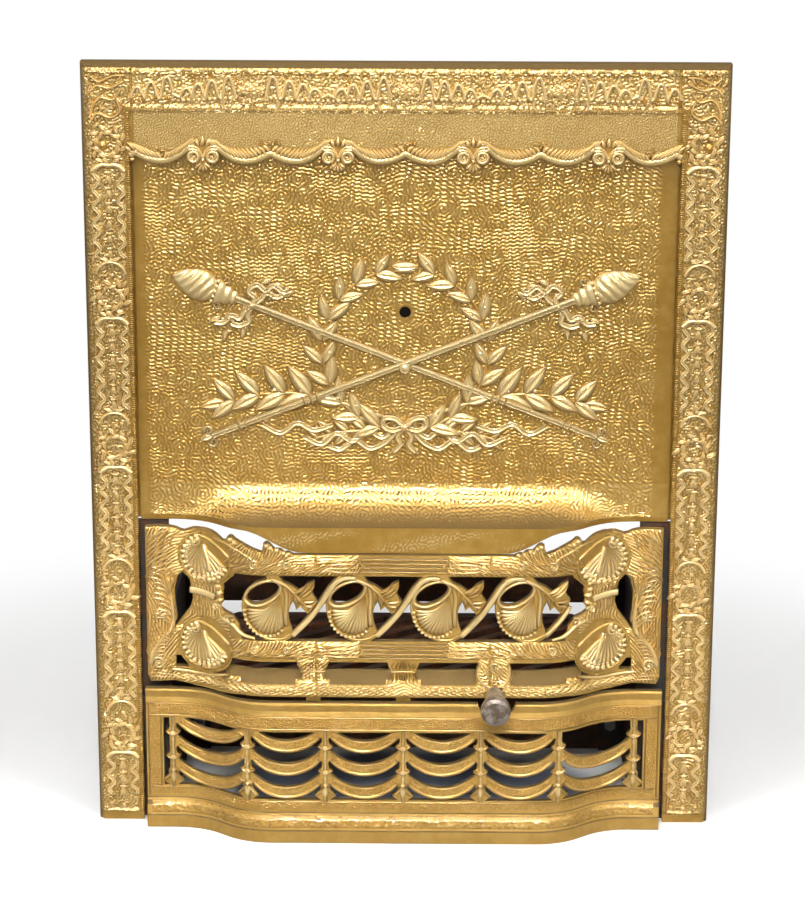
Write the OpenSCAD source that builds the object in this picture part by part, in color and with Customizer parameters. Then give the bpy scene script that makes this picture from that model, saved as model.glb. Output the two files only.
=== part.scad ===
// Cast iron fireplace insert: frame, tilting summer cover, bowed basket front,
// bowed ash front, side cheeks and a shaking grate worked by a rod and knob.
// X runs across the face, Y runs back from it and Z rises from the hearth.
// The modules draw in the face's own frame, where Y = 0 is the jambs' flat face,
// and placed() then centres the whole depth on the origin.

/* [Frame] */
// Overall width of the frame
frame_w = 610; // [580:1:660]
// Overall height of the frame
frame_h = 762; // [740:1:820]
// Width of each jamb
jamb_w = 45; // [40:1:56]
// Thickness of the frame's front wall
frame_t = 5; // [4:0.5:7]
// Depth from the jambs' face to the rear rim
rim_depth = 18; // [18:1:30]
// Thickness of the rim
rim_t = 5; // [3:0.5:6]
// Width of the bevel along the outer edge
bevel_w = 5; // [3:0.5:7]
// Height of the border across the head
head_border_h = 45.5; // [32:0.5:50]
// How far the mouldings stand in front of the jambs
moulding_h = 2; // [1:0.5:3]
// Width of the bead moulding beside the opening
bead_w = 5; // [4:0.5:7]
// Height of the plain foot of each jamb
foot_h = 8; // [4:1:20]

/* [Valance] */
// From the top of the frame down to the valance's cusps
valance_drop = 86; // [76:1:96]
// How far the lobes hang below the cusps
lobe_drop = 8; // [4:1:12]
// Height of the rounded lip along the scallops
lip_h = 5; // [3:0.5:7]
// How far the lip stands forward
lip_proud = 3; // [1:0.5:5]
// Spacing of the shells along the valance
shell_pitch = 127; // [118:1:130]
// Radius of each hanging shell
shell_r = 9; // [6:0.5:11]

/* [Summer cover] */
// Gap between the cover and each jamb
cover_gap = 2.5; // [2:0.5:8]
// How far the ledge that the cover rests on reaches in from each jamb
ledge_w = 9; // [6:0.5:14]
// Wall of the cover
cover_t = 4; // [3:0.5:5]
// Gap between the back of the frame and the front of the cover
cover_setback = 4; // [3.5:0.5:6]
// How far the flare reaches forward at the middle
flare_reach = 54; // [40:1:58]
// Height of the flare's cove
flare_h = 30; // [20:1:40]
// Height of the upright lip at the middle
cover_lip_h = 25; // [18:1:32]
// Running gap between the cover's lip and the basket
cover_clear = 1; // [0.8:0.1:3]
// Radius of the hole for a lifting knob
knob_hole_r = 5.75; // [4:0.25:8]
// Height of the knob hole above the hearth
knob_hole_z = 522; // [480:1:580]
// Radius of the tilting pins
tilt_pin_r = 3; // [2.5:0.25:4]
// Radial running clearance of the pins in the cover's ears
pin_clear = 0.05; // [0.02:0.01:0.1]
// Distance of each hanger from the opening's edge
hanger_inset = 60; // [54:1:90]

/* [Basket front] */
// Height of the basket front at the middle
basket_h = 144; // [138:1:156]
// Wall of the basket front
basket_t = 8; // [6:0.5:9]
// Height of the bottom rail's face
bottom_rail_h = 12; // [10:0.5:15]
// Height of the splayed sill over the bottom rail
sill_h = 13; // [8:0.5:16]
// Height of the slots above the sill
slot_h = 10; // [8:0.5:14]
// Height of the middle rail
middle_rail_h = 21.6; // [18:0.1:26]
// Height of the top rail
top_rail_h = 21; // [18:0.5:26]
// Spacing of the posts between the slots, as a share of the row's width
post_share = 0.2366; // [0.225:0.0001:0.24]
// Width of each post
post_w = 32; // [24:1:36]
// Spacing of the running scrolls, as a share of the frieze's width
scroll_share = 0.2242; // [0.22:0.0001:0.23]
// Gap between the basket front and each jamb
basket_gap = 8; // [5:1:12]
// Radius of the shell discs
disc_r = 28; // [24:0.5:30]

/* [Ash front] */
// Height of the ash front
ash_h = 145; // [136:1:160]
// Wall of the ash front
ash_t = 6; // [4:0.5:7]
// Gap between the ash front and each jamb
ash_gap = 5; // [3:0.5:8]
// Slit between the ash front and the basket
ash_slit = 7; // [5:0.5:12]
// Height of the base moulding
base_h = 27; // [20:1:34]
// How far the base moulding stands forward
base_proud = 8; // [4:0.5:12]
// Height of the pierced window's lower edge
window_z = 43; // [38:1:50]
// Height of the pierced window
window_h = 71; // [60:1:76]
// Number of swag bays
bays = 6; // [4:1:8]
// Rows of swags in each bay
swag_rows = 3; // [2:1:3]
// Width of the notch that clears the knob
notch_w = 38; // [36:1:44]

/* [Bow] */
// Length of the straight ends of the bowed fronts, measured from the opening's edge
bow_ends = 35; // [33:1:45]
// Length of the curve from the flat middle to the ends
bow_run = 95; // [80:1:100]
// How far the bow stands forward
bow_rise = 38; // [30:1:42]
// How far the ends of the bowed fronts stand before the jambs
bow_end = 12; // [8:1:16]

/* [Fire box] */
// Thickness of the cheeks
cheek_t = 6; // [4:0.5:8]
// Distance of each cheek's inner face from the opening's edge
cheek_inset = 29; // [27:1:34]
// Depth from the cheek flange to the rear flange's back
box_depth = 187; // [170:1:240]
// Height of the cheeks
cheek_h = 210; // [190:1:220]
// Height of the front flange that the basket is bolted to
flange_h = 312; // [295:1:312]
// Thickness of the back plates
back_t = 7; // [5:0.5:9]
// Lower edge of the upper fireback
fireback_z = 165; // [160:1:175]
// Height of the upper fireback
fireback_h = 43; // [36:1:45]
// Height of the plate behind the ash pit
pit_back_h = 140; // [100:1:144]

/* [Grate] */
// Thickness of the grate
grate_t = 10; // [8:0.5:12]
// Gap between the grate and each cheek
grate_side = 16; // [11:1:30]
// Width of each grate bar
bar_w = 10; // [8:0.5:14]
// Gap between the grate bars
bar_gap = 14; // [10:0.5:20]
// Angle of the grate bars
bar_angle = 38; // [30:1:50]
// Travel of the shaking grate
shake = 20; // [12:1:22]
// Gap between the grate and what it slides on
slide_gap = 0.3; // [0.2:0.05:0.6]
// Distance of the rod from the middle of its post
rod_shift = 1; // [0:0.5:3]
// Radius of the rod
rod_r = 5; // [4:0.25:6]
// Radial clearance of the rod in its socket and the knob
rod_clear = 0.05; // [0.02:0.01:0.1]
// Largest radius of the knob
knob_r = 14.5; // [12:0.5:15.5]
// Length of the knob
knob_len = 42; // [34:1:50]
// Gap between the basket and the knob's ferrule at rest
knob_gap = 3; // [2:0.5:8]

/* [Fasteners] */
// Radius of the fixing screws
screw_r = 3; // [2.5:0.25:4]
// How far the fixing screws stand behind the frame
screw_out = 24; // [12:1:60]
// Height of the fixing screws below the frame's top
screw_drop = 78; // [70:1:90]
// Radius of the box bolts
bolt_r = 3.2; // [2.5:0.1:4]
// Width across flats of the bolt heads
bolt_af = 11; // [9:0.5:13]
// Height of the bolt heads
bolt_head_h = 4.5; // [3:0.5:6]
// Radial clearance of the bolts in their holes
bolt_clear = 0.2; // [0.1:0.05:0.5]
// Height of the bosses behind the castings
boss_h = 5; // [4:0.5:8]
// Radius of the bosses
boss_r = 8; // [7:0.5:9]

/* [Hidden] */

enamel = "#c39a3c";
iron = "#4a3f3a";
rust = "#5d4034";
steel = "#77746f";
worn = "#3b322d";

eps = 0.01;
half_w = frame_w / 2;
opening_w = frame_w - 2 * jamb_w;
half_o = opening_w / 2;
cusp_z = frame_h - valance_drop;

// heights that stack up from the hearth
basket_z = ash_h + ash_slit;
sill_z = basket_z + bottom_rail_h;
slot_z = sill_z + sill_h;
middle_z = slot_z + slot_h;
frieze_z = middle_z + middle_rail_h;
basket_top = basket_z + basket_h;
top_rail_z = basket_top - top_rail_h;
frieze_h = top_rail_z - frieze_z;
cover_lip_z = basket_top + cover_clear;
crest_rise = 16.5;
cover_edge_z = basket_top + crest_rise + cover_clear;
edge_t = cover_t + 0.5;
crease_mid_z = cover_lip_z + cover_lip_h;
crease_end_z = cover_edge_z + edge_t;
flare_top_z = crease_mid_z + flare_h;

// depths behind the jambs' face
cover_y = frame_t + cover_setback;
cover_back = cover_y + cover_t;
flange_y = frame_t + boss_h;
box_back = flange_y + box_depth;
rear_y = box_back + back_t;
half_box = half_o - cheek_inset;
box_w = 2 * half_box;
hanger_x = half_o - hanger_inset;
flange_w = 24;
tilt_y = cover_back + 7;
tilt_z = cusp_z;
cover_top_z = tilt_z + 22;

// the rod, the knob and the grate
rod_z = basket_z + 3;
rod_boss_r = rod_r + 4;
grate_z = rod_z - rod_boss_r;
grate_gap = shake + 4;
knob_front = -bow_end - bow_rise - knob_gap - knob_len - 8;
ferrule_len = 8;
rear_reach = rear_y + bolt_head_h;

// the plan of the bowed fronts
bow_flat = half_o - bow_ends - bow_run;
bow_r = (pow(bow_run, 2) + pow(bow_rise, 2)) / (4 * bow_rise);
bow_steps = 6;
function bow(x) = let (a = abs(x) - bow_flat)
    a <= 0 ? bow_rise
    : a <= bow_run / 2 ? bow_rise - bow_r + sqrt(bow_r * bow_r - a * a)
    : a < bow_run ? bow_r - sqrt(bow_r * bow_r - pow(bow_run - a, 2)) : 0;
function face_y(x) = -bow_end - bow(x);
function bow_knots(w) = let (k = [for (i = [0:2 * bow_steps]) bow_flat + bow_run * i / (2 * bow_steps)])
    concat([-w], [for (i = [len(k) - 1:-1:0]) if (k[i] < w) -k[i]], [for (v = k) if (v < w) v], [w]);

function ellipse(a, b, turn = 0, at = [0, 0], n = 28) = [for (i = [0:n - 1])
    let (t = 360 * i / n, x = a * cos(t), y = b * sin(t))
    [at[0] + x * cos(turn) - y * sin(turn), at[1] + x * sin(turn) + y * cos(turn)]];

module placed() translate([0, -(rear_reach + knob_front) / 2, 0]) children();

// an outline in X and Z, given depth from y0 back to y1
module slab(y0, y1) translate([0, y1, 0]) rotate([90, 0, 0]) linear_extrude(y1 - y0) children();

module both() for (s = [0, 1]) mirror([s, 0, 0]) children();

// a plate of thickness t whose front face follows the bow, proud of it by p
module bowed_plate(w, z0, z1, t, p = 0) {
    k = bow_knots(w);
    n = len(k) - 1;
    translate([0, 0, z0]) linear_extrude(z1 - z0) polygon(concat(
        [for (x = k) [x, face_y(x) - p]],
        [for (i = [n:-1:0]) [k[i], face_y(k[i]) + t]]));
}

// a solid through rings of points: a ring runs up its front and down its back, point for point
module loft(rings) {
    m = len(rings[0]);
    n = len(rings);
    last = (n - 1) * m;
    sides = [for (j = [0:n - 2], i = [0:m - 1]) each
        [[j * m + i, j * m + (i + 1) % m, (j + 1) * m + i],
         [j * m + (i + 1) % m, (j + 1) * m + (i + 1) % m, (j + 1) * m + i]]];
    caps = [for (i = [0:m / 2 - 2]) each
        [[m - 1 - i, m - 2 - i, i], [m - 2 - i, i + 1, i],
         [last + i, last + m - 2 - i, last + m - 1 - i], [last + i, last + i + 1, last + m - 2 - i]]];
    polyhedron(points = [for (r = rings) each r], faces = concat(sides, caps));
}

// a moulding along the bow: its profile is points of depth before the face and height,
// and it is t thick behind the face
module bowed_moulding(w, profile, t) {
    loft([for (x = bow_knots(w)) concat([for (p = profile) [x, face_y(x) - p[0], p[1]]],
        [for (i = [len(profile) - 1:-1:0]) [x, face_y(x) + t, profile[i][1]]])]);
}

module hex_bolt(grip) {
    rotate([0, 0, 30]) cylinder(h = bolt_head_h, r = bolt_af / sqrt(3), $fn = 6);
    translate([0, 0, -grip]) cylinder(h = grip + eps, r = bolt_r, $fn = 32);
}

// places along the cheeks' flanges: the jambs' bolts and the basket's
jamb_bolt_x = half_o + 15;
jamb_bolt_z = [60, flange_h - 50];
basket_bolt_x = half_box + cheek_t + bolt_af / sqrt(3) + 2;
basket_bolt_z = [basket_z + 18, basket_top - 16];
bolt_bite = 8;

// the valance's lower edge: cusps between lobes, rising beside each shell
function lobe(t) = let (m = shell_pitch * 0.19)
    t < m ? -lobe_drop + lobe_drop * pow((t - m) / m, 2)
    : -lobe_drop + 1.5 * lobe_drop * pow((t - m) / m, 2);
function valance_edge(x) = let (
        u = abs(x) / shell_pitch,
        from_cusp = abs(u - round(u)) * shell_pitch,
        reach = shell_pitch / 2 - shell_r * 1.7)
    cusp_z + (from_cusp > reach ? lobe(reach) : lobe(from_cusp));
edge_steps = 120;
edge_xs = [for (i = [0:edge_steps]) -half_o + opening_w * i / edge_steps];
shell_xs = [for (i = [-1.5:1:1.5]) i * shell_pitch];

module valance_shell() {
    shell_z = cusp_z - 2;
    translate([0, shell_z]) circle(r = shell_r, $fn = 40);
    for (s = [-1, 1]) translate([s * shell_r * 1.1, shell_z + shell_r * 0.7])
        circle(r = shell_r * 0.65, $fn = 32);
}

module valance_lip() slab(-lip_proud, frame_t) {
    polygon(concat([for (x = edge_xs) [x, valance_edge(x)]],
        [for (i = [edge_steps:-1:0]) [edge_xs[i], valance_edge(edge_xs[i]) + lip_h]]));
    for (x = shell_xs) translate([x, 0]) valance_shell();
}

module frame_plate() {
    slab(0, frame_t) difference() {
        translate([-half_w, 0]) square([frame_w, frame_h]);
        polygon(concat([[-half_o, -1]], [for (x = edge_xs) [x, valance_edge(x)]], [[half_o, -1]]));
    }
}

module frame_rim() {
    slab(0, rim_depth) difference() {
        translate([-half_w, 0]) square([frame_w, frame_h]);
        translate([-half_w + rim_t, -1]) square([frame_w - 2 * rim_t, frame_h - rim_t + 1]);
    }
}

module edge_bevels() {
    both() translate([half_w, 0, -1]) linear_extrude(frame_h + 2)
        polygon([[eps, -1], [eps, bevel_w], [-bevel_w - 1, -1]]);
    translate([-half_w - 1, 0, frame_h]) rotate([90, 0, 90]) linear_extrude(frame_w + 2)
        polygon([[-1, eps], [bevel_w, eps], [-1, -bevel_w - 1]]);
}

// raised fillets and bead mouldings round the jambs and along the head border
module frame_mouldings() {
    fillet_w = 3;
    inset = bevel_w + 2;
    slab(-moulding_h, eps) {
        both() {
            translate([half_o, foot_h]) square([bead_w, frame_h - head_border_h - foot_h + bead_w]);
            translate([half_w - inset - fillet_w, foot_h]) square([fillet_w, frame_h - inset - foot_h]);
            translate([half_o, foot_h]) square([jamb_w - inset, fillet_w]);
        }
        translate([-half_o, frame_h - head_border_h]) square([opening_w, bead_w]);
        translate([-half_w + inset, frame_h - inset - fillet_w]) square([frame_w - 2 * inset, fillet_w]);
    }
}

// the ledges behind the jambs that the cover's edges rest on: a web and a strip behind the cover
ledge_t = 4;
ledge_z0 = flange_h + 2;
ledge_z1 = tilt_z - 8;
module cover_ledges() both() {
    translate([half_o + 1, frame_t - eps, ledge_z0])
        cube([ledge_t, rim_depth - frame_t + eps, ledge_z1 - ledge_z0]);
    translate([half_o - ledge_w, rim_depth - ledge_t, ledge_z0])
        cube([ledge_w + 2, ledge_t, ledge_z1 - ledge_z0]);
}

hanger_base_w = 32;
hanger_base_z = cover_top_z + 2;
hanger_base_h = 30;
hanger_boss_z = hanger_base_z + hanger_base_h / 2;
hanger_screw_dx = 10.5;
hanger_t = 6;
hanger_mid = hanger_x + hanger_t / 2;
screw_shoulder = 0.5;
frame_screw_x = half_w - jamb_w / 2 + 2.5;

module outer_frame() color(enamel) placed() difference() {
    union() {
        frame_plate();
        frame_rim();
        frame_mouldings();
        valance_lip();
        cover_ledges();
        both() for (z = jamb_bolt_z) slab(frame_t - eps, flange_y)
            translate([jamb_bolt_x, z]) circle(r = boss_r, $fn = 40);
    }
    edge_bevels();
    both() {
        for (z = jamb_bolt_z) translate([jamb_bolt_x, flange_y - bolt_bite, z]) rotate([-90, 0, 0])
            cylinder(h = bolt_bite + 1, r = bolt_r + rod_clear, $fn = 40);
        translate([frame_screw_x, -moulding_h - 1, frame_h - screw_drop]) rotate([-90, 0, 0])
            cylinder(h = frame_t + moulding_h + 2, r = screw_r + screw_shoulder + bolt_clear, $fn = 40);
        for (s = [-1, 1]) translate([hanger_mid + s * hanger_screw_dx, frame_t - 3, hanger_boss_z])
            rotate([-90, 0, 0]) cylinder(h = 4, r = 2 + rod_clear, $fn = 32);
    }
}

// round-headed screws with a shoulder through the frame, whose shanks stand out behind it
module frame_screws() color(enamel) placed() both()
    translate([frame_screw_x, 0, frame_h - screw_drop]) rotate([-90, 0, 0]) {
        cylinder(h = frame_t + 1, r = screw_r + screw_shoulder, $fn = 40);
        cylinder(h = frame_t + screw_out, r = screw_r, $fn = 40);
        difference() {
            translate([0, 0, 1]) sphere(r = screw_r * 1.8, $fn = 40);
            cylinder(h = 12, r = 12, $fn = 40);
        }
    }

cheek_inner = half_box;
cheek_outer = half_box + cheek_t;
flange_out = half_w - rim_t - 1;
bearer_d = 14;
bearer_y = box_back - 3 * bearer_d - 2;
bearer_h = 16;
bearer_z = grate_z - slide_gap - bearer_h;
fireback_bolt_z = fireback_z + fireback_h / 2;
pit_bolt_z = [pit_back_h * 0.215, pit_back_h * 0.785];
back_bolt_x = cheek_inner - flange_w / 2;

rib_z = 40;
rib_w = 6;

// a side cheek: a wall with a front flange for the jamb and a rear flange for the back plates
module cheek() difference() {
    union() {
        translate([cheek_inner, flange_y, 0]) cube([cheek_t, box_depth, cheek_h]);
        translate([cheek_inner, flange_y, 0]) cube([flange_out - cheek_inner, cheek_t, flange_h]);
        translate([cheek_inner - flange_w, box_back - cheek_t, 0]) cube([flange_w + eps, cheek_t, cheek_h]);
        for (z = [rib_z, cheek_h - rib_z - 10]) translate([cheek_outer - eps, flange_y, z])
            cube([4, box_depth, rib_w]);
    }
    for (z = jamb_bolt_z) bolt_hole([jamb_bolt_x, flange_y, z]);
    for (z = basket_bolt_z) bolt_hole([basket_bolt_x, flange_y, z]);
    for (z = concat(pit_bolt_z, [fireback_bolt_z])) bolt_hole([back_bolt_x, box_back - cheek_t, z]);
    translate([cheek_inner - 1, bearer_y + bearer_d / 2, bearer_z + bearer_h / 2]) rotate([0, 90, 0])
        cylinder(h = cheek_t + 6, r = bolt_r + bolt_clear, $fn = 40);
}

module bolt_hole(at) translate(at) translate([0, -1, 0]) rotate([-90, 0, 0])
    cylinder(h = cheek_t + 2, r = bolt_r + bolt_clear, $fn = 40);

module left_cheek() color(iron) placed() mirror([1, 0, 0]) cheek();
module right_cheek() color(iron) placed() cheek();

// bolts put in from behind, through the flanges and into the castings' bosses
module cheek_bolts() color(steel) placed() both() for (z = jamb_bolt_z)
    translate([jamb_bolt_x, flange_y + cheek_t, z]) rotate([-90, 0, 0]) hex_bolt(cheek_t + bolt_bite - 1);

module basket_bolts() color(steel) placed() both() for (z = basket_bolt_z)
    translate([basket_bolt_x, flange_y + cheek_t, z]) rotate([-90, 0, 0]) hex_bolt(cheek_t + bolt_bite - 1);

module back_plate(z0, h, zs) difference() {
    translate([-cheek_inner, box_back, z0]) cube([box_w, back_t, h]);
    both() for (z = zs) translate([back_bolt_x, box_back - 1, z]) rotate([-90, 0, 0])
        cylinder(h = back_t + 2, r = bolt_r + bolt_clear, $fn = 40);
}

module fireback() color(rust) placed() back_plate(fireback_z, fireback_h, [fireback_bolt_z]);
module pit_back() color(rust) placed() back_plate(0, pit_back_h, pit_bolt_z);

module back_bolts() color(steel) placed() both() for (z = concat(pit_bolt_z, [fireback_bolt_z]))
    translate([back_bolt_x, rear_y, z]) rotate([-90, 0, 0]) {
        hex_bolt(back_t + cheek_t + 6);
        translate([0, 0, -back_t - cheek_t - 5]) difference() {
            rotate([0, 0, 30]) cylinder(h = 5, r = bolt_af / sqrt(3), $fn = 6);
            translate([0, 0, -1]) cylinder(h = 7, r = bolt_r - eps, $fn = 32);
        }
    }

// the bar across the box that carries the back of the grate
module grate_bearer() color(iron) placed() difference() {
    translate([-cheek_inner, bearer_y, bearer_z]) cube([box_w, bearer_d, bearer_h]);
    both() translate([cheek_inner - 22, bearer_y + bearer_d / 2, bearer_z + bearer_h / 2]) rotate([0, 90, 0])
        cylinder(h = 24, r = bolt_r + rod_clear, $fn = 40);
}

module bearer_bolts() color(steel) placed() both()
    translate([cheek_outer, bearer_y + bearer_d / 2, bearer_z + bearer_h / 2]) rotate([0, 90, 0])
        hex_bolt(cheek_t + 20);

// the crest of leafage along the basket's top: distance from the middle, and height over the top rail
crest_pts = [[0, 0], [106, 0], [108.5, 1.2], [111.5, 2.4], [114.5, 1.6], [117.5, 4.6], [120.5, 5.2], [123, 4.4],
    [125.5, 6.8], [128.3, 10.2], [130.5, 11.8], [133, 12], [135.2, 10], [136.2, 4], [137, 2], [145, 4.6],
    [156, 9.8], [162, 12.6], [165, 15], [167.8, 15.2], [170.5, 12.5], [172.3, 9], [178, 8.6], [184, 9.8],
    [190, 13.5], [196, 15.7], [200, 15.9], [205, 15.5], [210, 13.5], [214, 12.1], [218, 12.8], [222, 14.7],
    [228, 16], [236, crest_rise], [252, 15.8]];

basket_hw = half_o - basket_gap;
disc_x = basket_hw - 58;
frieze_hw = disc_x - 12;
slot_hw = disc_x - 8;
post_pitch = 2 * slot_hw * post_share;
scroll_pitch = 2 * frieze_hw * scroll_share;
rod_x = post_pitch + rod_shift;
scroll_shift = 7;
upper_disc_z = basket_top - 12;
lower_disc_z = middle_z + 6;

// one running scroll, measured from its middle: a shell under an oval eye, a leaf spur,
// and a band that climbs over the next one
scroll_disc = [[-0.9, 29.7], [-13.5, 25.4], [-22.6, 15.8], [-27.2, 6.2], [-26.8, -4.5], [-22.7, -15.2],
    [-13.7, -25.8], [-5.6, -31.5], [4.6, -34.5], [14.7, -33.5], [24, -27.5], [21.8, -22.4], [19.2, -14.9],
    [18.2, -4.2], [20.2, 2.2], [21.2, 10.8], [20.7, 23.5], [13.7, 26.7], [8, 34.5], [-4, 34.5]];
scroll_spur = [[12, 26], [20.7, 23.5], [27.8, 18.2], [31.8, 15.1], [32.8, 20.4], [36.8, 24.7], [43.4, 27.9],
    [43.4, 22.6], [40.9, 16.2], [43.4, 10.9], [46, 7.7], [42.9, 2.4], [38.9, -3.6], [36.4, -5], [29.8, 2.3],
    [25.5, -1.5], [23.3, 10.8], [19, 10.8]];
scroll_stem = [[20.5, -26.5], [30.9, -14.8], [40.9, -3]];
scroll_climb = [[49, 9.9], [56, 21.6], [62, 28.5], [68, 34.5], [83, 34.5], [80.7, 28], [68.1, 24], [59, 14],
    [54.4, 5.2], [53, 4.6], [45, -6.2], [34.9, -18], [23.8, -29.5]];
scroll_end = [[45, 2], [45.5, -3], [34.9, -18], [23.8, -29.5]];
scroll_eye = ellipse(17, 8.7, 28, [-6.5, 15.4]);
scroll_drawn = [81.6, 66.4];

module scroll_unit(last) scale([scroll_pitch / scroll_drawn[0], frieze_h / scroll_drawn[1]]) {
    difference() {
        polygon(scroll_disc);
        polygon(scroll_eye);
    }
    polygon(scroll_spur);
    polygon(concat(scroll_stem, last ? scroll_end : scroll_climb));
}

module frieze_scrolls() translate([-scroll_shift, frieze_z + frieze_h / 2])
    for (i = [0:3]) translate([(i - 1.5) * scroll_pitch, 0]) scroll_unit(i == 3);

// the basket front seen square on, with its slots and windows open
module basket_outline() {
    crest_x = basket_hw / crest_pts[len(crest_pts) - 1][0];
    difference() {
        both() polygon(concat([[-eps, basket_z - 1]],
            [for (p = basket_foot) [basket_hw - p[0], basket_z + p[1]]],
            [[basket_hw, basket_top + crest_pts[len(crest_pts) - 1][1]]],
            [for (i = [len(crest_pts) - 2:-1:0]) [crest_pts[i][0] * crest_x, basket_top + crest_pts[i][1]]],
            [[-eps, basket_top]]));
        basket_openings();
    }
    frieze_scrolls();
    both() for (z = [upper_disc_z, lower_disc_z]) translate([disc_x, z]) circle(r = disc_r, $fn = 64);
}

// the leafy lower edge: distance in from the basket's end, and height over the bottom rail's edge
basket_foot = [[94, -1], [70, -4], [47, -2.5], [27, 1.5], [3, 0.5], [0, 8]];
// the column between the frieze and the end window: its two sides, as distance out from the discs' middle
// and as a share of the frieze's height
column_in = [[-37, 0], [-34.5, 0.23], [-27.6, 0.34], [-20.6, 0.365], [-15.9, 0.41], [-19, 0.53], [-17.9, 0.62],
    [-19.8, 0.71], [-18.7, 0.78], [-25.8, 0.9], [-29.4, 0.95], [-31, 1]];
end_window = [[20.7, 0.9], [27, 0.81], [30.1, 0.6], [29.3, 0.31], [27.9, 0.15], [33.1, 0.006], [28, 0.05],
    [20.4, 0.21], [15.1, 0.32], [12.1, 0.47], [13.1, 0.61], [15.2, 0.75]];

module basket_openings() {
    both() {
        polygon(concat([[-eps, frieze_z]], [for (p = column_in) [disc_x + p[0], frieze_z + p[1] * frieze_h]],
            [[-eps, top_rail_z]]));
        polygon([for (p = end_window) [disc_x + p[0], frieze_z + p[1] * frieze_h]]);
        translate([disc_x + 18, sill_z + 4]) square([12, 12]);
    }
    difference() {
        translate([-slot_hw, sill_z]) square([2 * slot_hw, sill_h + slot_h]);
        for (i = [-1:1]) translate([i * post_pitch, sill_z]) {
            basket_post();
            if (i == 1) translate([0, (sill_h + slot_h) / 2]) circle(r = post_w * 0.56, $fn = 48);
        }
    }
}

// a post between the slots, narrowest at its middle
module basket_post() {
    h = sill_h + slot_h;
    side = [[1, -1], [0.94, h * 0.12], [0.7, h * 0.36], [0.68, h * 0.55], [0.9, h * 0.84], [1, h + 1]];
    both() polygon(concat([[-eps, -1]], [for (p = side) [p[0] * post_w / 2, p[1]]], [[-eps, h + 1]]));
}

// reeded rails: four reeds along the middle rail and four along the top rail
module reeds(z0, h) {
    reed_w = 84;
    pitch = h / 5;
    for (i = [0:3]) translate([-reed_w / 2, face_y(0) + 0.4, z0 + pitch * (i + 1)])
        rotate([0, 90, 0]) cylinder(h = reed_w, r = pitch * 0.42, $fn = 24);
}

lug_w = 14;
lug_z0 = grate_z - slide_gap - 9;

// the basket front: a bowed pierced casting with bosses for its bolts and lugs under the grate
module basket_front() color(enamel) placed() difference() {
    union() {
        intersection() {
            slab(-bow_end - bow_rise - 10, frame_t + 20) basket_outline();
            bowed_plate(basket_hw + 1, basket_z - 5, basket_top + crest_rise + 2, basket_t);
        }
        bowed_moulding(disc_x - 20, [[-1, sill_z - 1], [0, sill_z], [-basket_t, sill_z + sill_h]],
            basket_t + 3);
        reeds(middle_z, middle_rail_h);
        reeds(top_rail_z, top_rail_h);
        both() for (z = basket_bolt_z) translate([basket_bolt_x, -bow_end + 1, z]) rotate([-90, 0, 0])
            cylinder(h = flange_y + bow_end - 1, r = basket_hw - basket_bolt_x - 0.4, $fn = 40);
        for (x = [-post_pitch, 0]) translate([x - lug_w / 2, face_y(0) + basket_t - 1, lug_z0])
            lug();
    }
    both() for (z = basket_bolt_z) translate([basket_bolt_x, flange_y - bolt_bite, z]) rotate([-90, 0, 0])
        cylinder(h = bolt_bite + 1, r = bolt_r + rod_clear, $fn = 40);
    rod_notch();
}

// a lug hung under the bottom rail, on which the front of the grate slides
module lug() {
    cube([lug_w, 5, basket_z - lug_z0 + 10]);
    cube([lug_w, 1 + grate_gap + 12, 9]);
}

// the arch in the bottom rail that the rod passes through
module rod_notch() slab(-bow_end - bow_rise - 20, 40) {
    translate([rod_x, rod_z]) circle(r = rod_boss_r - 1.5, $fn = 40);
    translate([rod_x - rod_boss_r + 1.5, basket_z - 5]) square([2 * rod_boss_r - 3, rod_z - basket_z + 5]);
}

ash_hw = half_o - ash_gap;
window_hw = ash_hw - 17;
end_gap = 9.5;
bay_w = 2 * (window_hw - end_gap) / bays;
stem_w = 7;
stem_xs = [for (i = [0:bays]) (i - bays / 2) * bay_w];
swag_pitch = window_h / (swag_rows - 0.07);

// one swag: what lies between a deep arc below and a shallower one above
module swag() {
    span = bay_w / 2 - 1;
    deep = swag_pitch * 0.9;
    shallow = swag_pitch * 0.39;
    r_low = span * 1.19;
    r_up = span * 1.21;
    intersection() {
        difference() {
            translate([0, r_low - deep]) circle(r = r_low, $fn = 96);
            translate([0, r_up - shallow]) circle(r = r_up, $fn = 96);
        }
        translate([-span - 1, -deep - 1]) square([2 * span + 2, 1.5 * deep]);
    }
}

module swag_lattice() intersection() {
    translate([-window_hw - 1, window_z - 1]) square([2 * window_hw + 2, window_h + 2]);
    union() {
        for (x = stem_xs) translate([x - stem_w / 2, window_z - 1]) square([stem_w, window_h + 2]);
        for (i = [0:bays - 1], row = [0:swag_rows - 1])
            if (!(i == bays - 1 && row == 0))
                translate([stem_xs[i] + bay_w / 2, window_z + window_h - swag_pitch * row]) swag();
    }
}

// on each stem: a pair of thorns between the rows, and a bell flower with two barbs at its foot
module stem_buds() for (x = stem_xs) translate([x, 0]) {
    for (row = [0:swag_rows - 2]) translate([0, window_z + window_h - swag_pitch * (row * 1.05 + 0.62)])
        polygon([[-7.5, 0], [-3, 4], [3, 4], [7.5, 0], [3, -3.5], [-3, -3.5]]);
    translate([0, window_z]) polygon([[-3.4, 20], [-5.5, 9], [-5, 6.5], [-10.5, 6], [-8, 2.5], [-3, -1],
        [3, -1], [8, 2.5], [10.5, 6], [5, 6.5], [5.5, 9], [3.4, 20]]);
}

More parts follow.
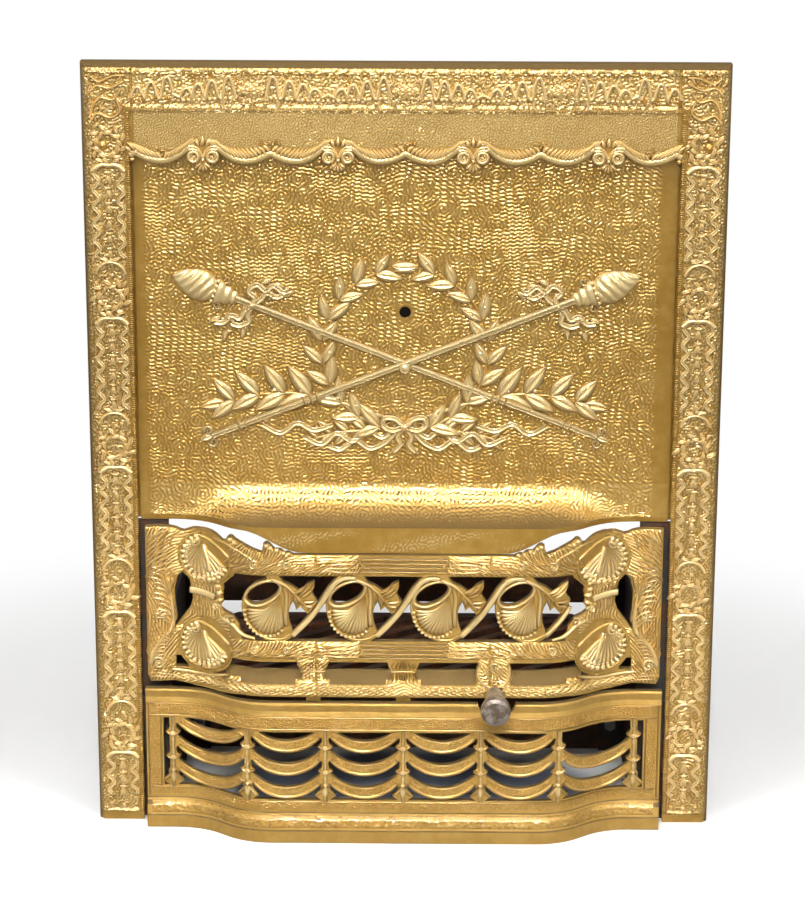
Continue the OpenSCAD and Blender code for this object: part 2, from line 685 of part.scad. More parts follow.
ash_profile_top = [[0, window_z + window_h], [0, ash_h - 16], [1.5, ash_h - 14], [0.5, ash_h - 9],
    [2.5, ash_h - 2], [2, ash_h]];
ash_profile_base = [[base_proud - 1, 0], [base_proud, 1], [base_proud, base_h * 0.46],
    [base_proud - 1.5, base_h * 0.5], [base_proud - 3.5, base_h * 0.85], [1.5, base_h], [1, base_h + 2],
    [0, base_h + 3], [0, window_z]];

// the ash front: bowed, pierced with swags, standing loose on the hearth
module ash_front() color(enamel) placed() difference() {
    union() {
        bowed_moulding(ash_hw, ash_profile_top, ash_t);
        bowed_moulding(ash_hw, ash_profile_base, ash_t);
        intersection() {
            slab(-bow_end - bow_rise - 10, 10) {
                swag_lattice();
                stem_buds();
                both() translate([window_hw, window_z - 1]) square([ash_hw - window_hw, window_h + 2]);
            }
            bowed_plate(ash_hw, window_z - 1, window_z + window_h + 1, ash_t);
        }
        both() translate([ash_hw - 16, -bow_end + 2, 20])
            cube([8, flange_y - slide_gap + bow_end - 2, ash_h - 45]);
    }
    slab(-bow_end - bow_rise - 20, 0)
        translate([rod_x + 2, ash_h + 4]) circle(r = notch_w / 2, $fn = 64);
}

// the summer cover's lower edge, from the upright lip at the middle to the thin ends
function cover_reach(x) = flare_reach * bow(x) / bow_rise;
lip_flat = bow_flat - 32;
lip_end = bow_flat + 26;
function lip_fall(x) = let (a = abs(x))
    a < lip_flat ? cover_lip_h : a > lip_end ? edge_t
    : edge_t + (cover_lip_h - edge_t) * (1 + cos(180 * (a - lip_flat) / (lip_end - lip_flat))) / 2;
function crease_z(x) = crease_end_z + (crease_mid_z - crease_end_z) * bow(x) / bow_rise;
flare_steps = 7;
function flare_ring(x) = let (
        reach = cover_reach(x),
        rise = flare_top_z - crease_z(x),
        front = [for (i = [0:flare_steps]) let (a = 90 * i / flare_steps)
            [x, cover_y - reach * (1 - cos(a)), flare_top_z - rise * sin(a)]],
        back = [for (i = [flare_steps - 1:-1:0]) let (a = 90 * i / flare_steps,
            n = [rise * cos(a), reach * sin(a)] / norm([rise * cos(a), reach * sin(a)]))
            [x, cover_y - reach * (1 - cos(a)) + n[0] * cover_t, flare_top_z - rise * sin(a) - n[1] * cover_t]],
        lip_y = cover_y - reach,
        foot = crease_z(x) - lip_fall(x))
    concat([[x, cover_y, flare_top_z + 2]], front, [[x, lip_y, foot], [x, lip_y + cover_t, foot],
        [x, lip_y + cover_t, crease_z(x) - cover_t]], back, [[x, cover_back, flare_top_z + 2]]);

cover_hw = half_o - cover_gap;
flare_xs = let (step = 8, n = 17, first = lip_flat - 4)
    concat([-cover_hw], [for (i = [n:-1:0]) -first - step * i], [for (i = [0:n]) first + step * i], [cover_hw]);

ear_t = 6;
ear_x = hanger_x + 6.5;
ear_r = 6.5;

// an ear cast on the cover's back, with the hole for its tilting pin
module cover_ear() translate([ear_x, 0, 0]) rotate([90, 0, 90]) linear_extrude(ear_t) {
    translate([tilt_y, tilt_z]) circle(r = ear_r, $fn = 48);
    translate([cover_back - eps, tilt_z - ear_r - 12]) square([tilt_y - cover_back, 2 * ear_r + 18]);
}

module summer_cover() color(enamel) placed() difference() {
    union() {
        translate([-cover_hw, cover_y, flare_top_z]) cube([2 * cover_hw, cover_t, cover_top_z - flare_top_z]);
        loft(flare_rings());
        both() cover_ear();
    }
    translate([0, cover_y - 5, knob_hole_z]) rotate([-90, 0, 0])
        cylinder(h = cover_t + 10, r = knob_hole_r, $fn = 48);
    both() translate([ear_x - 1, tilt_y, tilt_z]) rotate([0, 90, 0])
        cylinder(h = ear_t + 2, r = tilt_pin_r + pin_clear, $fn = 48);
}
function flare_rings() = [for (x = flare_xs) let (r = flare_ring(x)) [for (i = [len(r) - 1:-1:0]) r[i]]];

// a hanger screwed behind the head, holding the cover's tilting pin
module hanger() difference() {
    union() {
        translate([hanger_mid - hanger_base_w / 2, frame_t, hanger_base_z])
            cube([hanger_base_w, 4, hanger_base_h]);
        translate([hanger_x, 0, 0]) rotate([90, 0, 90]) linear_extrude(hanger_t) {
            translate([tilt_y, tilt_z]) circle(r = ear_r, $fn = 48);
            polygon([[tilt_y - 1, tilt_z], [tilt_y + ear_r, tilt_z], [tilt_y + 5, hanger_base_z + 10],
                [frame_t + 3, hanger_base_z + hanger_base_h - 2], [frame_t + 3, hanger_base_z + 1],
                [tilt_y - 1, hanger_base_z + 1]]);
        }
    }
    translate([hanger_x - 1, tilt_y, tilt_z]) rotate([0, 90, 0])
        cylinder(h = hanger_t + 2, r = tilt_pin_r + 0.02, $fn = 48);
    for (s = [-1, 1])
        translate([hanger_mid + s * hanger_screw_dx, frame_t - 1, hanger_boss_z]) rotate([-90, 0, 0])
        cylinder(h = 7, r = 2 + bolt_clear, $fn = 32);
}

module left_hanger() color(iron) placed() mirror([1, 0, 0]) hanger();
module right_hanger() color(iron) placed() hanger();

module hanger_screws() color(steel) placed() both() for (s = [-1, 1])
    translate([hanger_mid + s * hanger_screw_dx, frame_t + 4, hanger_boss_z]) rotate([-90, 0, 0]) {
        cylinder(h = 2.5, r = 4, $fn = 32);
        translate([0, 0, -6]) cylinder(h = 7, r = 2, $fn = 32);
    }

module tilt_pins() color(steel) placed() both() translate([hanger_x - 3, tilt_y, tilt_z]) rotate([0, 90, 0]) {
    cylinder(h = ear_x + ear_t + 3 - hanger_x + 1, r = tilt_pin_r, $fn = 48);
    cylinder(h = 3 - slide_gap / 3, r = tilt_pin_r + 2, $fn = 48);
}

// the grate's outline: its front follows the bow and its rear corners are canted
grate_hw = half_box - grate_side;
grate_w = 2 * grate_hw;
grate_back = box_back - 10;
grate_cant = 40;
function grate_front(x) = face_y(x) + basket_t + grate_gap;
module grate_plan(inset) {
    k = bow_knots(grate_hw);
    offset(delta = -inset) polygon(concat([for (x = k) [x, grate_front(x)]],
        [[grate_hw, grate_back - grate_cant], [grate_hw - grate_cant, grate_back],
         [grate_cant - grate_hw, grate_back], [-grate_hw, grate_back - grate_cant]]));
}

module grate_slots() intersection() {
    grate_plan(13);
    pitch = bar_w + bar_gap;
    rotate(bar_angle) for (i = [-14:14])
        translate([-grate_w, i * pitch - bar_gap / 2]) square([2 * grate_w, bar_gap]);
}

// the socket under the grate's front that takes the rod, and how deep the rod goes in
socket_len = 6 * rod_r;
rod_end_y = grate_front(rod_x) + socket_len - rod_r - 1;

// the shaking grate, with the socket for its rod
module grate() color(rust) placed() difference() {
    union() {
        translate([0, 0, grate_z]) linear_extrude(grate_t) difference() {
            grate_plan(0);
            difference() {
                grate_slots();
                translate([rod_x - rod_boss_r - 2, grate_front(rod_x)])
                    square([2 * rod_boss_r + 4, socket_len]);
            }
        }
        translate([rod_x, grate_front(rod_x), rod_z]) rotate([-90, 0, 0])
            cylinder(h = socket_len, r = rod_boss_r, $fn = 48);
    }
    translate([rod_x, grate_front(rod_x) - 1, rod_z]) rotate([-90, 0, 0])
        cylinder(h = socket_len - 4, r = rod_r + rod_clear, $fn = 48);
    translate([rod_x, grate_front(rod_x) + 12, grate_z - 1])
        cylinder(h = 2 * rod_boss_r + 2, r = 2 + rod_clear, $fn = 32);
}

module shaker_rod() color(steel) placed() difference() {
    translate([rod_x, knob_front + 14, rod_z]) rotate([-90, 0, 0])
        cylinder(h = rod_end_y - knob_front - 14, r = rod_r, $fn = 48);
    translate([rod_x, grate_front(rod_x) + 12, grate_z - 1])
        cylinder(h = 2 * rod_boss_r + 2, r = 2 + rod_clear, $fn = 32);
}

module rod_pin() color(steel) placed() translate([rod_x, grate_front(rod_x) + 12, grate_z])
    cylinder(h = 2 * rod_boss_r + 1.5, r = 2, $fn = 32);

// the ferrule between the knob and the rod
module rod_ferrule() color(steel) placed()
    translate([rod_x, knob_front + knob_len, rod_z]) rotate([-90, 0, 0]) difference() {
        cylinder(h = ferrule_len, r = knob_r * 0.6, $fn = 48);
        translate([0, 0, -1]) cylinder(h = ferrule_len + 2, r = rod_r + rod_clear, $fn = 48);
    }

module shaker_knob() color(worn) placed() translate([rod_x, knob_front, rod_z]) rotate([-90, 0, 0])
    difference() {
        rotate_extrude($fn = 64) polygon([[0, 0], [knob_r * 0.72, 0.6], [knob_r * 0.93, 2.4], [knob_r, 5.5],
            [knob_r, 9], [knob_r * 0.93, 15], [knob_r * 0.78, 24], [knob_r * 0.68, 33],
            [knob_r * 0.66, knob_len], [0, knob_len]]);
        translate([0, 0, 14]) cylinder(h = knob_len, r = rod_r + rod_clear, $fn = 48);
    }

outer_frame();
frame_screws();
left_cheek();
right_cheek();
cheek_bolts();
basket_front();
basket_bolts();
fireback();
pit_back();
back_bolts();
grate_bearer();
bearer_bolts();
left_hanger();
right_hanger();
hanger_screws();
tilt_pins();
summer_cover();
ash_front();
grate();
shaker_rod();
rod_pin();
rod_ferrule();
shaker_knob();
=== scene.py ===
import math
import bpy
import numpy as np
from mathutils import Matrix, Vector
from mathutils.bvhtree import BVHTree


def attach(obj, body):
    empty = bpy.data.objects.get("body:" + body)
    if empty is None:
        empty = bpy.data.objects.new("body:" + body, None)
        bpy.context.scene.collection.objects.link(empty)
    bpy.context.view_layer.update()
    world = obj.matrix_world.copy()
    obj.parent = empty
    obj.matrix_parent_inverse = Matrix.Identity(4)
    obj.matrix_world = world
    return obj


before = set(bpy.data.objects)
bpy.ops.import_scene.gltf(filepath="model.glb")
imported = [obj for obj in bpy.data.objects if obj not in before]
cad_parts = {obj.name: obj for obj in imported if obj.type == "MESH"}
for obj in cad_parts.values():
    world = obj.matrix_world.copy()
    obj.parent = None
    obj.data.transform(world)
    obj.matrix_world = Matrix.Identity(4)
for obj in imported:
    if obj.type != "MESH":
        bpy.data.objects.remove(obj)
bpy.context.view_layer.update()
print("frame loaded")

# all lengths below are millimetres in the face's own frame: y = 0 is the jambs' face
mm = 0.001
faceShift = 52.75      # from the face's own frame back to the row's
bow = {"flat": 130, "run": 95, "rise": 38, "end": 12}


def toRow(points):
    moved = np.asarray(points, dtype=float).reshape(-1, 3) - (0, faceShift, 0)
    return moved * mm


def bowDepth(x):       # how far the bowed fronts stand forward
    radius = (bow["run"] ** 2 + bow["rise"] ** 2) / (4 * bow["rise"])
    a = np.abs(np.asarray(x, dtype=float)) - bow["flat"]
    near = bow["rise"] - radius + np.sqrt(np.maximum(radius ** 2 - a ** 2, 0))
    far = radius - np.sqrt(np.maximum(radius ** 2 - (bow["run"] - a) ** 2, 0))
    return np.where(a <= 0, bow["rise"], np.where(a <= bow["run"] / 2, near, np.where(a < bow["run"], far, 0)))


def bowSlope(x):
    return (bowDepth(np.asarray(x) + 0.05) - bowDepth(np.asarray(x) - 0.05)) / 0.1


# surfaces that flat work is laid on: across, up and proud become a place
def onPlane(y):
    return lambda u, v, w: np.stack([u, y - w, v], -1)


def onBow(lean=None):  # lean(v) gives how far the face stands before the plain bow at height v
    def place(u, v, w):
        slope = bowSlope(u)
        size = np.sqrt(1 + slope ** 2)
        ahead = lean(v) if lean else 0
        return np.stack([u - w * slope / size, -bow["end"] - bowDepth(u) - ahead - w / size, v], -1)
    return place


# ---- camera, floor and light
cameraSet = {"place": (0.017006, -2.69663, 1.14066), "down": 0.27841, "yaw": -0.0071534, "roll": 0.0036859,
             "focal": 2839.32, "longSide": 905}


def makeCamera():
    c = cameraSet
    ahead = Vector((math.sin(c["yaw"]) * math.cos(c["down"]), math.cos(c["yaw"]) * math.cos(c["down"]),
                    -math.sin(c["down"])))
    right = Vector((math.cos(c["yaw"]), -math.sin(c["yaw"]), 0))
    up = right.cross(ahead)
    rightTurned = math.cos(c["roll"]) * right + math.sin(c["roll"]) * up
    upTurned = math.cos(c["roll"]) * up - math.sin(c["roll"]) * right
    bpy.ops.object.camera_add()
    camera = bpy.context.object
    camera.name = "photoCamera"
    camera.data.sensor_fit = "AUTO"
    camera.data.sensor_width = 36
    camera.data.lens = c["focal"] * 36 / c["longSide"]
    camera.data.clip_end = 50
    turn = Matrix((rightTurned, upTurned, -ahead)).transposed().to_4x4()
    camera.matrix_world = Matrix.Translation(c["place"]) @ turn
    bpy.context.scene.camera = camera


lightSet = {
    "keyLeft": {"place": (-1.25, -1.75, 1.75), "aim": (0, 0, 0.42), "size": (0.5, 0.5), "power": 10.5},
    "keyRight": {"place": (1.3, -1.65, 1.7), "aim": (0, 0, 0.42), "size": (0.5, 0.5), "power": 9},
    "softBox": {"place": (0, -1.45, 2.35), "aim": (0, 0, 0.4), "size": (2.2, 0.8), "power": 15},
    "basketLight": {"place": (0, -1.9, 1.25), "aim": (0, -0.1, 0.14), "size": (1.0, 0.2), "power": 1.5, "spread": 20},
    "coverLight": {"place": (0, -1.9, 1.35), "aim": (0, 0, 0.66), "size": (0.9, 0.3), "power": 0.55, "spread": 26},
    "topLeft": {"place": (-0.24, -0.47, 1.65), "aim": (-0.16, -0.08, 0.33), "size": (0.28, 0.34), "power": 5.3},
    "topRight": {"place": (0.20, -0.47, 1.65), "aim": (0.13, -0.08, 0.33), "size": (0.34, 0.34), "power": 5.3},
}


def makeLights():
    for name, s in lightSet.items():
        bpy.ops.object.light_add(type="AREA", location=s["place"])
        lamp = bpy.context.object
        lamp.name = name
        lamp.data.shape = "RECTANGLE"
        lamp.data.size, lamp.data.size_y = s["size"]
        lamp.data.energy = s["power"]
        lamp.data.spread = math.radians(s.get("spread", 180))
        lamp.rotation_euler = (Vector(s["aim"]) - Vector(s["place"])).to_track_quat("-Z", "Y").to_euler()


# ---- shader writing
class Wire:            # one socket's value, used in sums like a number
    def __init__(self, tree, socket=None):
        self.tree, self.socket = tree, socket

    def add(self, kind, settings=None, values=None, out=0):
        item = self.tree.nodes.new(kind)
        for name, value in (settings or {}).items():
            setattr(item, name, value)
        for name, value in (values or {}).items():
            if isinstance(value, Wire):
                self.tree.links.new(value.socket, item.inputs[name])
            else:
                item.inputs[name].default_value = value
        return Wire(self.tree, item.outputs[out])

    def calc(self, operation, first, second=0.0):
        return self.add("ShaderNodeMath", {"operation": operation}, {0: first, 1: second})

    def __add__(self, other):
        return self.calc("ADD", self, other)

    def __sub__(self, other):
        return self.calc("SUBTRACT", self, other)

    def __rsub__(self, other):
        return self.calc("SUBTRACT", other, self)

    def __mul__(self, other):
        return self.calc("MULTIPLY", self, other)

    __radd__, __rmul__ = __add__, __mul__

    def clip(self):
        return self.add("ShaderNodeClamp", None, {0: self})

    def axis(self, name):
        return self.add("ShaderNodeSeparateXYZ", None, {0: self}, name)

    def length(self):
        return self.add("ShaderNodeVectorMath", {"operation": "LENGTH"}, {0: self}, 1)

    def span(self, low, high):            # 0 at low, 1 at high, smooth between
        return self.add("ShaderNodeMapRange", {"interpolation_type": "SMOOTHSTEP"},
                        {"Value": self, "From Min": low, "From Max": high})

    def mix(self, first, second):         # colours, by this wire's value
        return self.add("ShaderNodeMix", {"data_type": "RGBA"}, {0: self, 6: first, 7: second}, 2)

    def noise(self, scale, detail=2.0, roughness=0.5):
        return self.add("ShaderNodeTexNoise", None,
                        {"Vector": self, "Scale": scale, "Detail": detail, "Roughness": roughness})

    def cells(self, scale):
        return self.add("ShaderNodeTexVoronoi", {"feature": "F1"}, {"Vector": self, "Scale": scale})

    def bump(self, strength, distance):
        return self.add("ShaderNodeBump", None, {"Height": self, "Strength": strength, "Distance": distance})


def startMaterial(name, fixed):           # fixed values go on the shader's own sockets
    material = bpy.data.materials.new(name)
    material.use_nodes = True
    tree = material.node_tree
    shader = tree.nodes["Principled BSDF"]
    for socket, value in fixed.items():
        shader.inputs[socket].default_value = value
    place = Wire(tree).add("ShaderNodeTexCoord", out="Object")
    return material, shader, place


def feed(shader, **wires):
    for name, wire in wires.items():
        socket = {"colour": "Base Color", "rough": "Roughness", "metal": "Metallic", "normal": "Normal",
                  "coat": "Coat Weight"}[name]
        wire.tree.links.new(wire.socket, shader.inputs[socket])


enamelSet = {"gold": (0.52, 0.285, 0.040, 1), "pale": (0.68, 0.42, 0.10, 1), "cream": (0.90, 0.70, 0.34, 1),
             "olive": (0.20, 0.115, 0.022, 1), "brown": (0.10, 0.048, 0.012, 1), "dullShade": (0.10, 0.058, 0.012, 1),
             "bare": (0.030, 0.022, 0.018, 1), "pores": 0.35, "metal": 0.66, "rimBlend": 0.0015}


def goldEnamel(name, stipple=0.0, grimeAndShade=0.6, worn=0.6, rough=0.24, low=0.0, high=0.0, ledge=(0.75, 1.0), deep=0.0,
               pale=0.0, edge=None):
    # gold flake under a thin gloss; the backs of the castings are bare iron
    # low and high: how much painted shade darkens the relief's hollows and painted highlight lightens its crests; deep
    # and pale: how far the whole ground is toned down with painted shade or up with painted light; ledge: how far up a
    # face turns to painted shade with less gloss; edge: where the frame's olive rim of painted shade starts
    e = enamelSet
    material, shader, place = startMaterial(name, {"Specular IOR Level": 0.5, "Coat Roughness": 0.13, "Coat IOR": 1.5})
    fine = place.noise(1100, 2)
    patchy = place.noise(85, 4, 0.6)
    broad = place.noise(11, 3)
    colour = ((patchy * 0.7 + broad * 0.5).span(0.42, 0.95) + pale).clip().mix(e["gold"], e["pale"])
    # random patches give real dirt; deep, the hollows that pointiness finds and the low relief below add painted shade
    hollowShadeAndGrime = patchy.span(0.63, 0.8) * 0.3 + deep
    # pointiness: convex edges are painted pale, partly rubbed wear and partly painted highlight; concave places darken
    # with painted shade
    if worn:
        point = place.add("ShaderNodeNewGeometry", out="Pointiness")
        colour = (point.span(0.51, 0.60) * worn).mix(colour, e["pale"])
        hollowShadeAndGrime = (hollowShadeAndGrime + (1 - point.span(0.405, 0.49)) * 0.7).clip()
    topHighlight = 0.0
    # the relief's high points are painted cream, a painted highlight, and its low parts darker, painted shade
    if low:
        lift = place.add("ShaderNodeAttribute", {"attribute_name": "lift"}, None, 2)
        hollowShadeAndGrime = (hollowShadeAndGrime + (1 - lift.span(0.0, 0.24)) * low).clip()
        topHighlight = lift.span(0.5, 0.9) * high
        colour = topHighlight.mix(colour, e["cream"])
    colour = (hollowShadeAndGrime * grimeAndShade).mix(colour, e["olive"])
    colour = (hollowShadeAndGrime.span(0.7, 1.0) * grimeAndShade).mix(colour, e["brown"])
    if edge:               # the frame's outer rim is painted olive: painted shade
        across, over = place.calc("ABSOLUTE", place.axis("X")), place.axis("Z")
        rim = (across.span(edge[0], edge[0] + e["rimBlend"]) + over.span(edge[1], edge[1] + e["rimBlend"])).clip()
        colour = (rim * 0.8).mix(colour, e["olive"])
    normal = place.add("ShaderNodeTexCoord", out="Normal")
    facing = normal.axis("Y").span(0.25, 0.45)
    # faces turned up are painted darker, painted shade, and are also made rougher and less glossy
    upward = normal.axis("Z").span(*ledge)
    colour = (upward * 0.9).mix(colour, e["dullShade"])
    colour = facing.mix(colour, e["bare"])
    height = fine * e["pores"] + patchy * 0.5
    if stipple:
        height = height + place.cells(700).span(0.1, 0.6) * stipple
    feed(shader, colour=colour, rough=rough + patchy * 0.14 + hollowShadeAndGrime * 0.15 + facing * 0.35 + upward * 0.5,
         metal=e["metal"] - facing * 0.3 - topHighlight * 0.2 - upward * 0.5,
         coat=1 - facing * 0.9 - upward, normal=height.bump(0.5, 0.0006))
    return material


ironSet = {"box": (0.055, 0.048, 0.043, 1), "boxRust": (0.12, 0.055, 0.028, 1), "rusty": (0.10, 0.055, 0.035, 1),
           "rust": (0.22, 0.085, 0.035, 1), "soot": (0.02, 0.016, 0.013, 1), "knob": (0.12, 0.085, 0.06, 1),
           "knobPale": (0.30, 0.27, 0.24, 1), "knobSpot": (0.34, 0.22, 0.09, 1), "steel": (0.30, 0.29, 0.27, 1),
           "steelRust": (0.13, 0.06, 0.03, 1)}


def castIron(name, tone, rust, metallic=0.55):
    material, shader, place = startMaterial(name, {"Metallic": metallic, "Specular IOR Level": 0.4})
    grain = place.noise(420, 3, 0.6)
    patchy = place.noise(38, 4, 0.65)
    colour = patchy.span(0.42, 0.66).mix(tone, rust)
    colour = (grain.span(0.5, 0.75) * 0.35).mix(colour, ironSet["soot"])
    feed(shader, colour=colour, rough=0.5 + patchy * 0.35, normal=(grain + patchy).bump(0.6, 0.0008))
    return material


def wornKnob(name):    # grey-brown metal, smooth from handling
    material, shader, place = startMaterial(name, {"Metallic": 0.45, "Coat Roughness": 0.16})
    patchy = place.noise(95, 4, 0.65)
    spots = place.noise(420, 2).span(0.58, 0.72)
    colour = patchy.span(0.40, 0.62).mix(ironSet["knob"], ironSet["knobPale"])
    colour = (spots * 0.6).mix(colour, ironSet["knobSpot"])
    feed(shader, colour=colour, rough=0.30 + patchy * 0.25, coat=0.6 - spots * 0.4,
         normal=(patchy + spots * 0.3).bump(0.35, 0.0005))
    return material


def boltSteel(name):
    material, shader, place = startMaterial(name, {"Metallic": 0.85})
    drawn = place.noise(300, 3)
    rusty = place.noise(70, 4, 0.7).span(0.5, 0.68)
    colour = (rusty * 0.7).mix(ironSet["steel"], ironSet["steelRust"])
    feed(shader, colour=colour, rough=0.38 + rusty * 0.35, normal=drawn.bump(0.3, 0.0004))
    return material


# creamy, plainCreamy and flared are paler copies of the enamel, painted light where the basket, the ash front and the
# cover's flare catch the lamps; sunken and rough are darker copies, painted shade on the jamb ground and the rough
# band; whorled and laurel carry painted highlight on their ridges and leaves, and laurel painted shade round its
# leaves
materials = {
    "creamy": goldEnamel("goldEnamelCreamy", grimeAndShade=0.8, low=0.75, high=0.75, pale=0.55),
    "plainCreamy": goldEnamel("goldEnamelPlainCreamy", worn=0, stipple=0.25, ledge=(0.15, 0.5), pale=0.5),
    "plain": goldEnamel("goldEnamelPlain", worn=0, stipple=0.25, ledge=(0.3, 0.6)),
    "framed": goldEnamel("goldEnamelFramed", worn=0, stipple=0.25, ledge=(0.3, 0.6), edge=(0.3015, 0.7545)),
    "flared": goldEnamel("goldEnamelFlared", grimeAndShade=0.4, worn=0, low=0.1, high=1.0, pale=0.4),
    "laurel": goldEnamel("goldEnamelLaurel", grimeAndShade=0.95, low=1.0, high=0.85, pale=0.15),
    "sunken": goldEnamel("goldEnamelSunken", grimeAndShade=0.8, worn=0, low=0.75, high=0.75, deep=0.3),
    "bright": goldEnamel("goldEnamelBright", grimeAndShade=0.65, worn=0, low=0.55, high=0.7),
    "rough": goldEnamel("goldEnamelRough", grimeAndShade=0.9, worn=0, rough=0.48, low=0.8, high=0.6, ledge=(0.9, 1.0),
                        deep=0.35),
    "screw": goldEnamel("goldEnamelScrew", worn=0),
    "whorled": goldEnamel("goldEnamelWhorled", grimeAndShade=0.5, worn=0, low=0.15, high=0.6),
    "stippled": goldEnamel("goldEnamelStippled", grimeAndShade=0.7, worn=0, low=0.6, high=0.85, deep=0.08, pale=0.1),
    "iron": castIron("boxIron", ironSet["box"], ironSet["boxRust"]),
    "rusty": castIron("rustyIron", ironSet["rusty"], ironSet["rust"], 0.35),
    "steel": boltSteel("boltSteel"),
    "worn": wornKnob("wornKnobIron"),
}


# metres; the pit's floor is painted blue-grey, a painted shadow under the insert, and the mark is a dark spot far
# behind the insert, painted shade seen through the knob hole
floorSet = {"size": 7, "fade": (0.45, 0.95), "pale": (0.86, 0.855, 0.84, 1), "toLight": (0.20, 0.19, 0.17, 1),
            "pit": (0.0, 0.015), "pitReach": (0.235, 0.13), "pitShadow": (0.20, 0.23, 0.30, 1),
            "mark": (-0.014, 2.16), "markReach": (0.03, 0.12), "holeShade": (0.012, 0.010, 0.008, 1)}


def spot(place, middle, reach, soft):      # 1 inside an ellipse on the floor and 0 outside
    shift = (-middle[0] / reach[0], -middle[1] / reach[1], 0)
    moved = place.add("ShaderNodeVectorMath", {"operation": "MULTIPLY_ADD"},
                      {0: place, 1: (1 / reach[0], 1 / reach[1], 0), 2: shift})
    return 1 - moved.length().span(soft, 1.0)


def makeFloor():
    f = floorSet
    bpy.ops.mesh.primitive_plane_add(size=f["size"])
    floor = bpy.context.object
    floor.name = "paleFloor"
    material, shader, place = startMaterial("paleFloor", {"Roughness": 0.7})
    tree = material.node_tree
    seen = place.add("ShaderNodeLightPath", out="Is Camera Ray")
    pale = spot(place, f["pit"], f["pitReach"], 0.8).mix(f["pale"], f["pitShadow"])
    feed(shader, colour=seen.mix(f["toLight"], pale))
    # a dark spot on the floor far behind: painted shade for what the knob hole shows
    far = spot(place, f["mark"], f["markReach"], 0.85).mix((1, 1, 1, 1), f["holeShade"])
    glow = place.add("ShaderNodeEmission", None, {"Color": far, "Strength": 1})
    away = place.length().span(*f["fade"])
    mixed = place.add("ShaderNodeMixShader", None, {0: away * seen, 1: Wire(tree, shader.outputs[0]), 2: glow})
    tree.links.new(mixed.socket, tree.nodes["Material Output"].inputs["Surface"])
    floor.data.materials.append(material)


worldSet = {"lit": 0.39, "front": 0.43, "back": 0.35, "above": 0.05}


def makeWorld():       # white to the camera; in reflections a studio that is dim overhead on the camera's side
    world = bpy.data.worlds.new("studio")
    bpy.context.scene.world = world
    world.use_nodes = True
    tree = world.node_tree
    ground = tree.nodes["Background"]
    way = Wire(tree).add("ShaderNodeTexCoord", out="Generated")
    behind = way.axis("Y").span(0.0, 0.6)
    above = way.axis("Z").span(0.45, 0.9) * (1 - behind)
    gloss = (worldSet["front"] + behind * (worldSet["back"] - worldSet["front"])
             - above * (worldSet["front"] - worldSet["above"]))
    seen = way.add("ShaderNodeLightPath", out="Is Camera Ray")
    through = way.add("ShaderNodeLightPath", out="Is Transmission Ray")
    shiny = way.add("ShaderNodeLightPath", out="Is Glossy Ray")
    direct = (seen + through).clip()
    other = shiny * gloss + (1 - shiny) * worldSet["lit"]
    strength = direct + (1 - direct) * other
    tree.links.new(strength.socket, ground.inputs["Strength"])
    ground.inputs["Color"].default_value = (1, 1, 1, 1)


makeCamera()
makeLights()
makeFloor()
makeWorld()
bpy.context.scene.view_settings.view_transform = "Standard"
print("camera, floor and light")

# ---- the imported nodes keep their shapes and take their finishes
nodeFinish = {
    "outer_frame": "framed", "frame_screws": "screw", "summer_cover": "plain", "basket_front": "plainCreamy",
    "ash_front": "plainCreamy", "left_cheek": "iron", "right_cheek": "iron", "grate_bearer": "iron",
    "left_hanger": "iron", "right_hanger": "iron", "fireback": "rusty", "pit_back": "rusty", "grate": "rusty",
    "shaker_knob": "worn", "shaker_rod": "steel", "rod_pin": "steel", "rod_ferrule": "worn",
    "cheek_bolts": "steel", "basket_bolts": "steel", "back_bolts": "steel", "bearer_bolts": "steel",
    "hanger_screws": "steel", "tilt_pins": "steel",
}
for node, finish in nodeFinish.items():
    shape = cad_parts[node]
    shape.data.materials.clear()
    shape.data.materials.append(materials[finish])
print("finishes on the packed nodes")

# ---- solid modelling on flat drawings: across, up, proud, in millimetres
backDepth = 0.6        # how far the small solids reach into the casting
brightRise = 2.8       # relief that stands this proud counts as a top in the enamel, which gets the full painted highlight


def smoothLine(points, steps=6):       # a curve through the points
    p = np.asarray(points, dtype=float)
    p = np.vstack([2 * p[0] - p[1], p, 2 * p[-1] - p[-2]])
    out = []
    for i in range(1, len(p) - 2):
        t = np.linspace(0, 1, steps, endpoint=False)[:, None]
        a, b, c, d = p[i - 1], p[i], p[i + 1], p[i + 2]
        out.append(0.5 * (2 * b + (c - a) * t + (2 * a - 5 * b + 4 * c - d) * t ** 2
                          + (3 * b - a - 3 * c + d) * t ** 3))
    return np.vstack(out + [p[-2:-1]])


def arcLine(x, z, radius, start, end, steps):       # angles in degrees
    a = np.radians(np.linspace(start, end, steps))
    return np.stack([x + radius * np.cos(a), z + radius * np.sin(a)], -1)


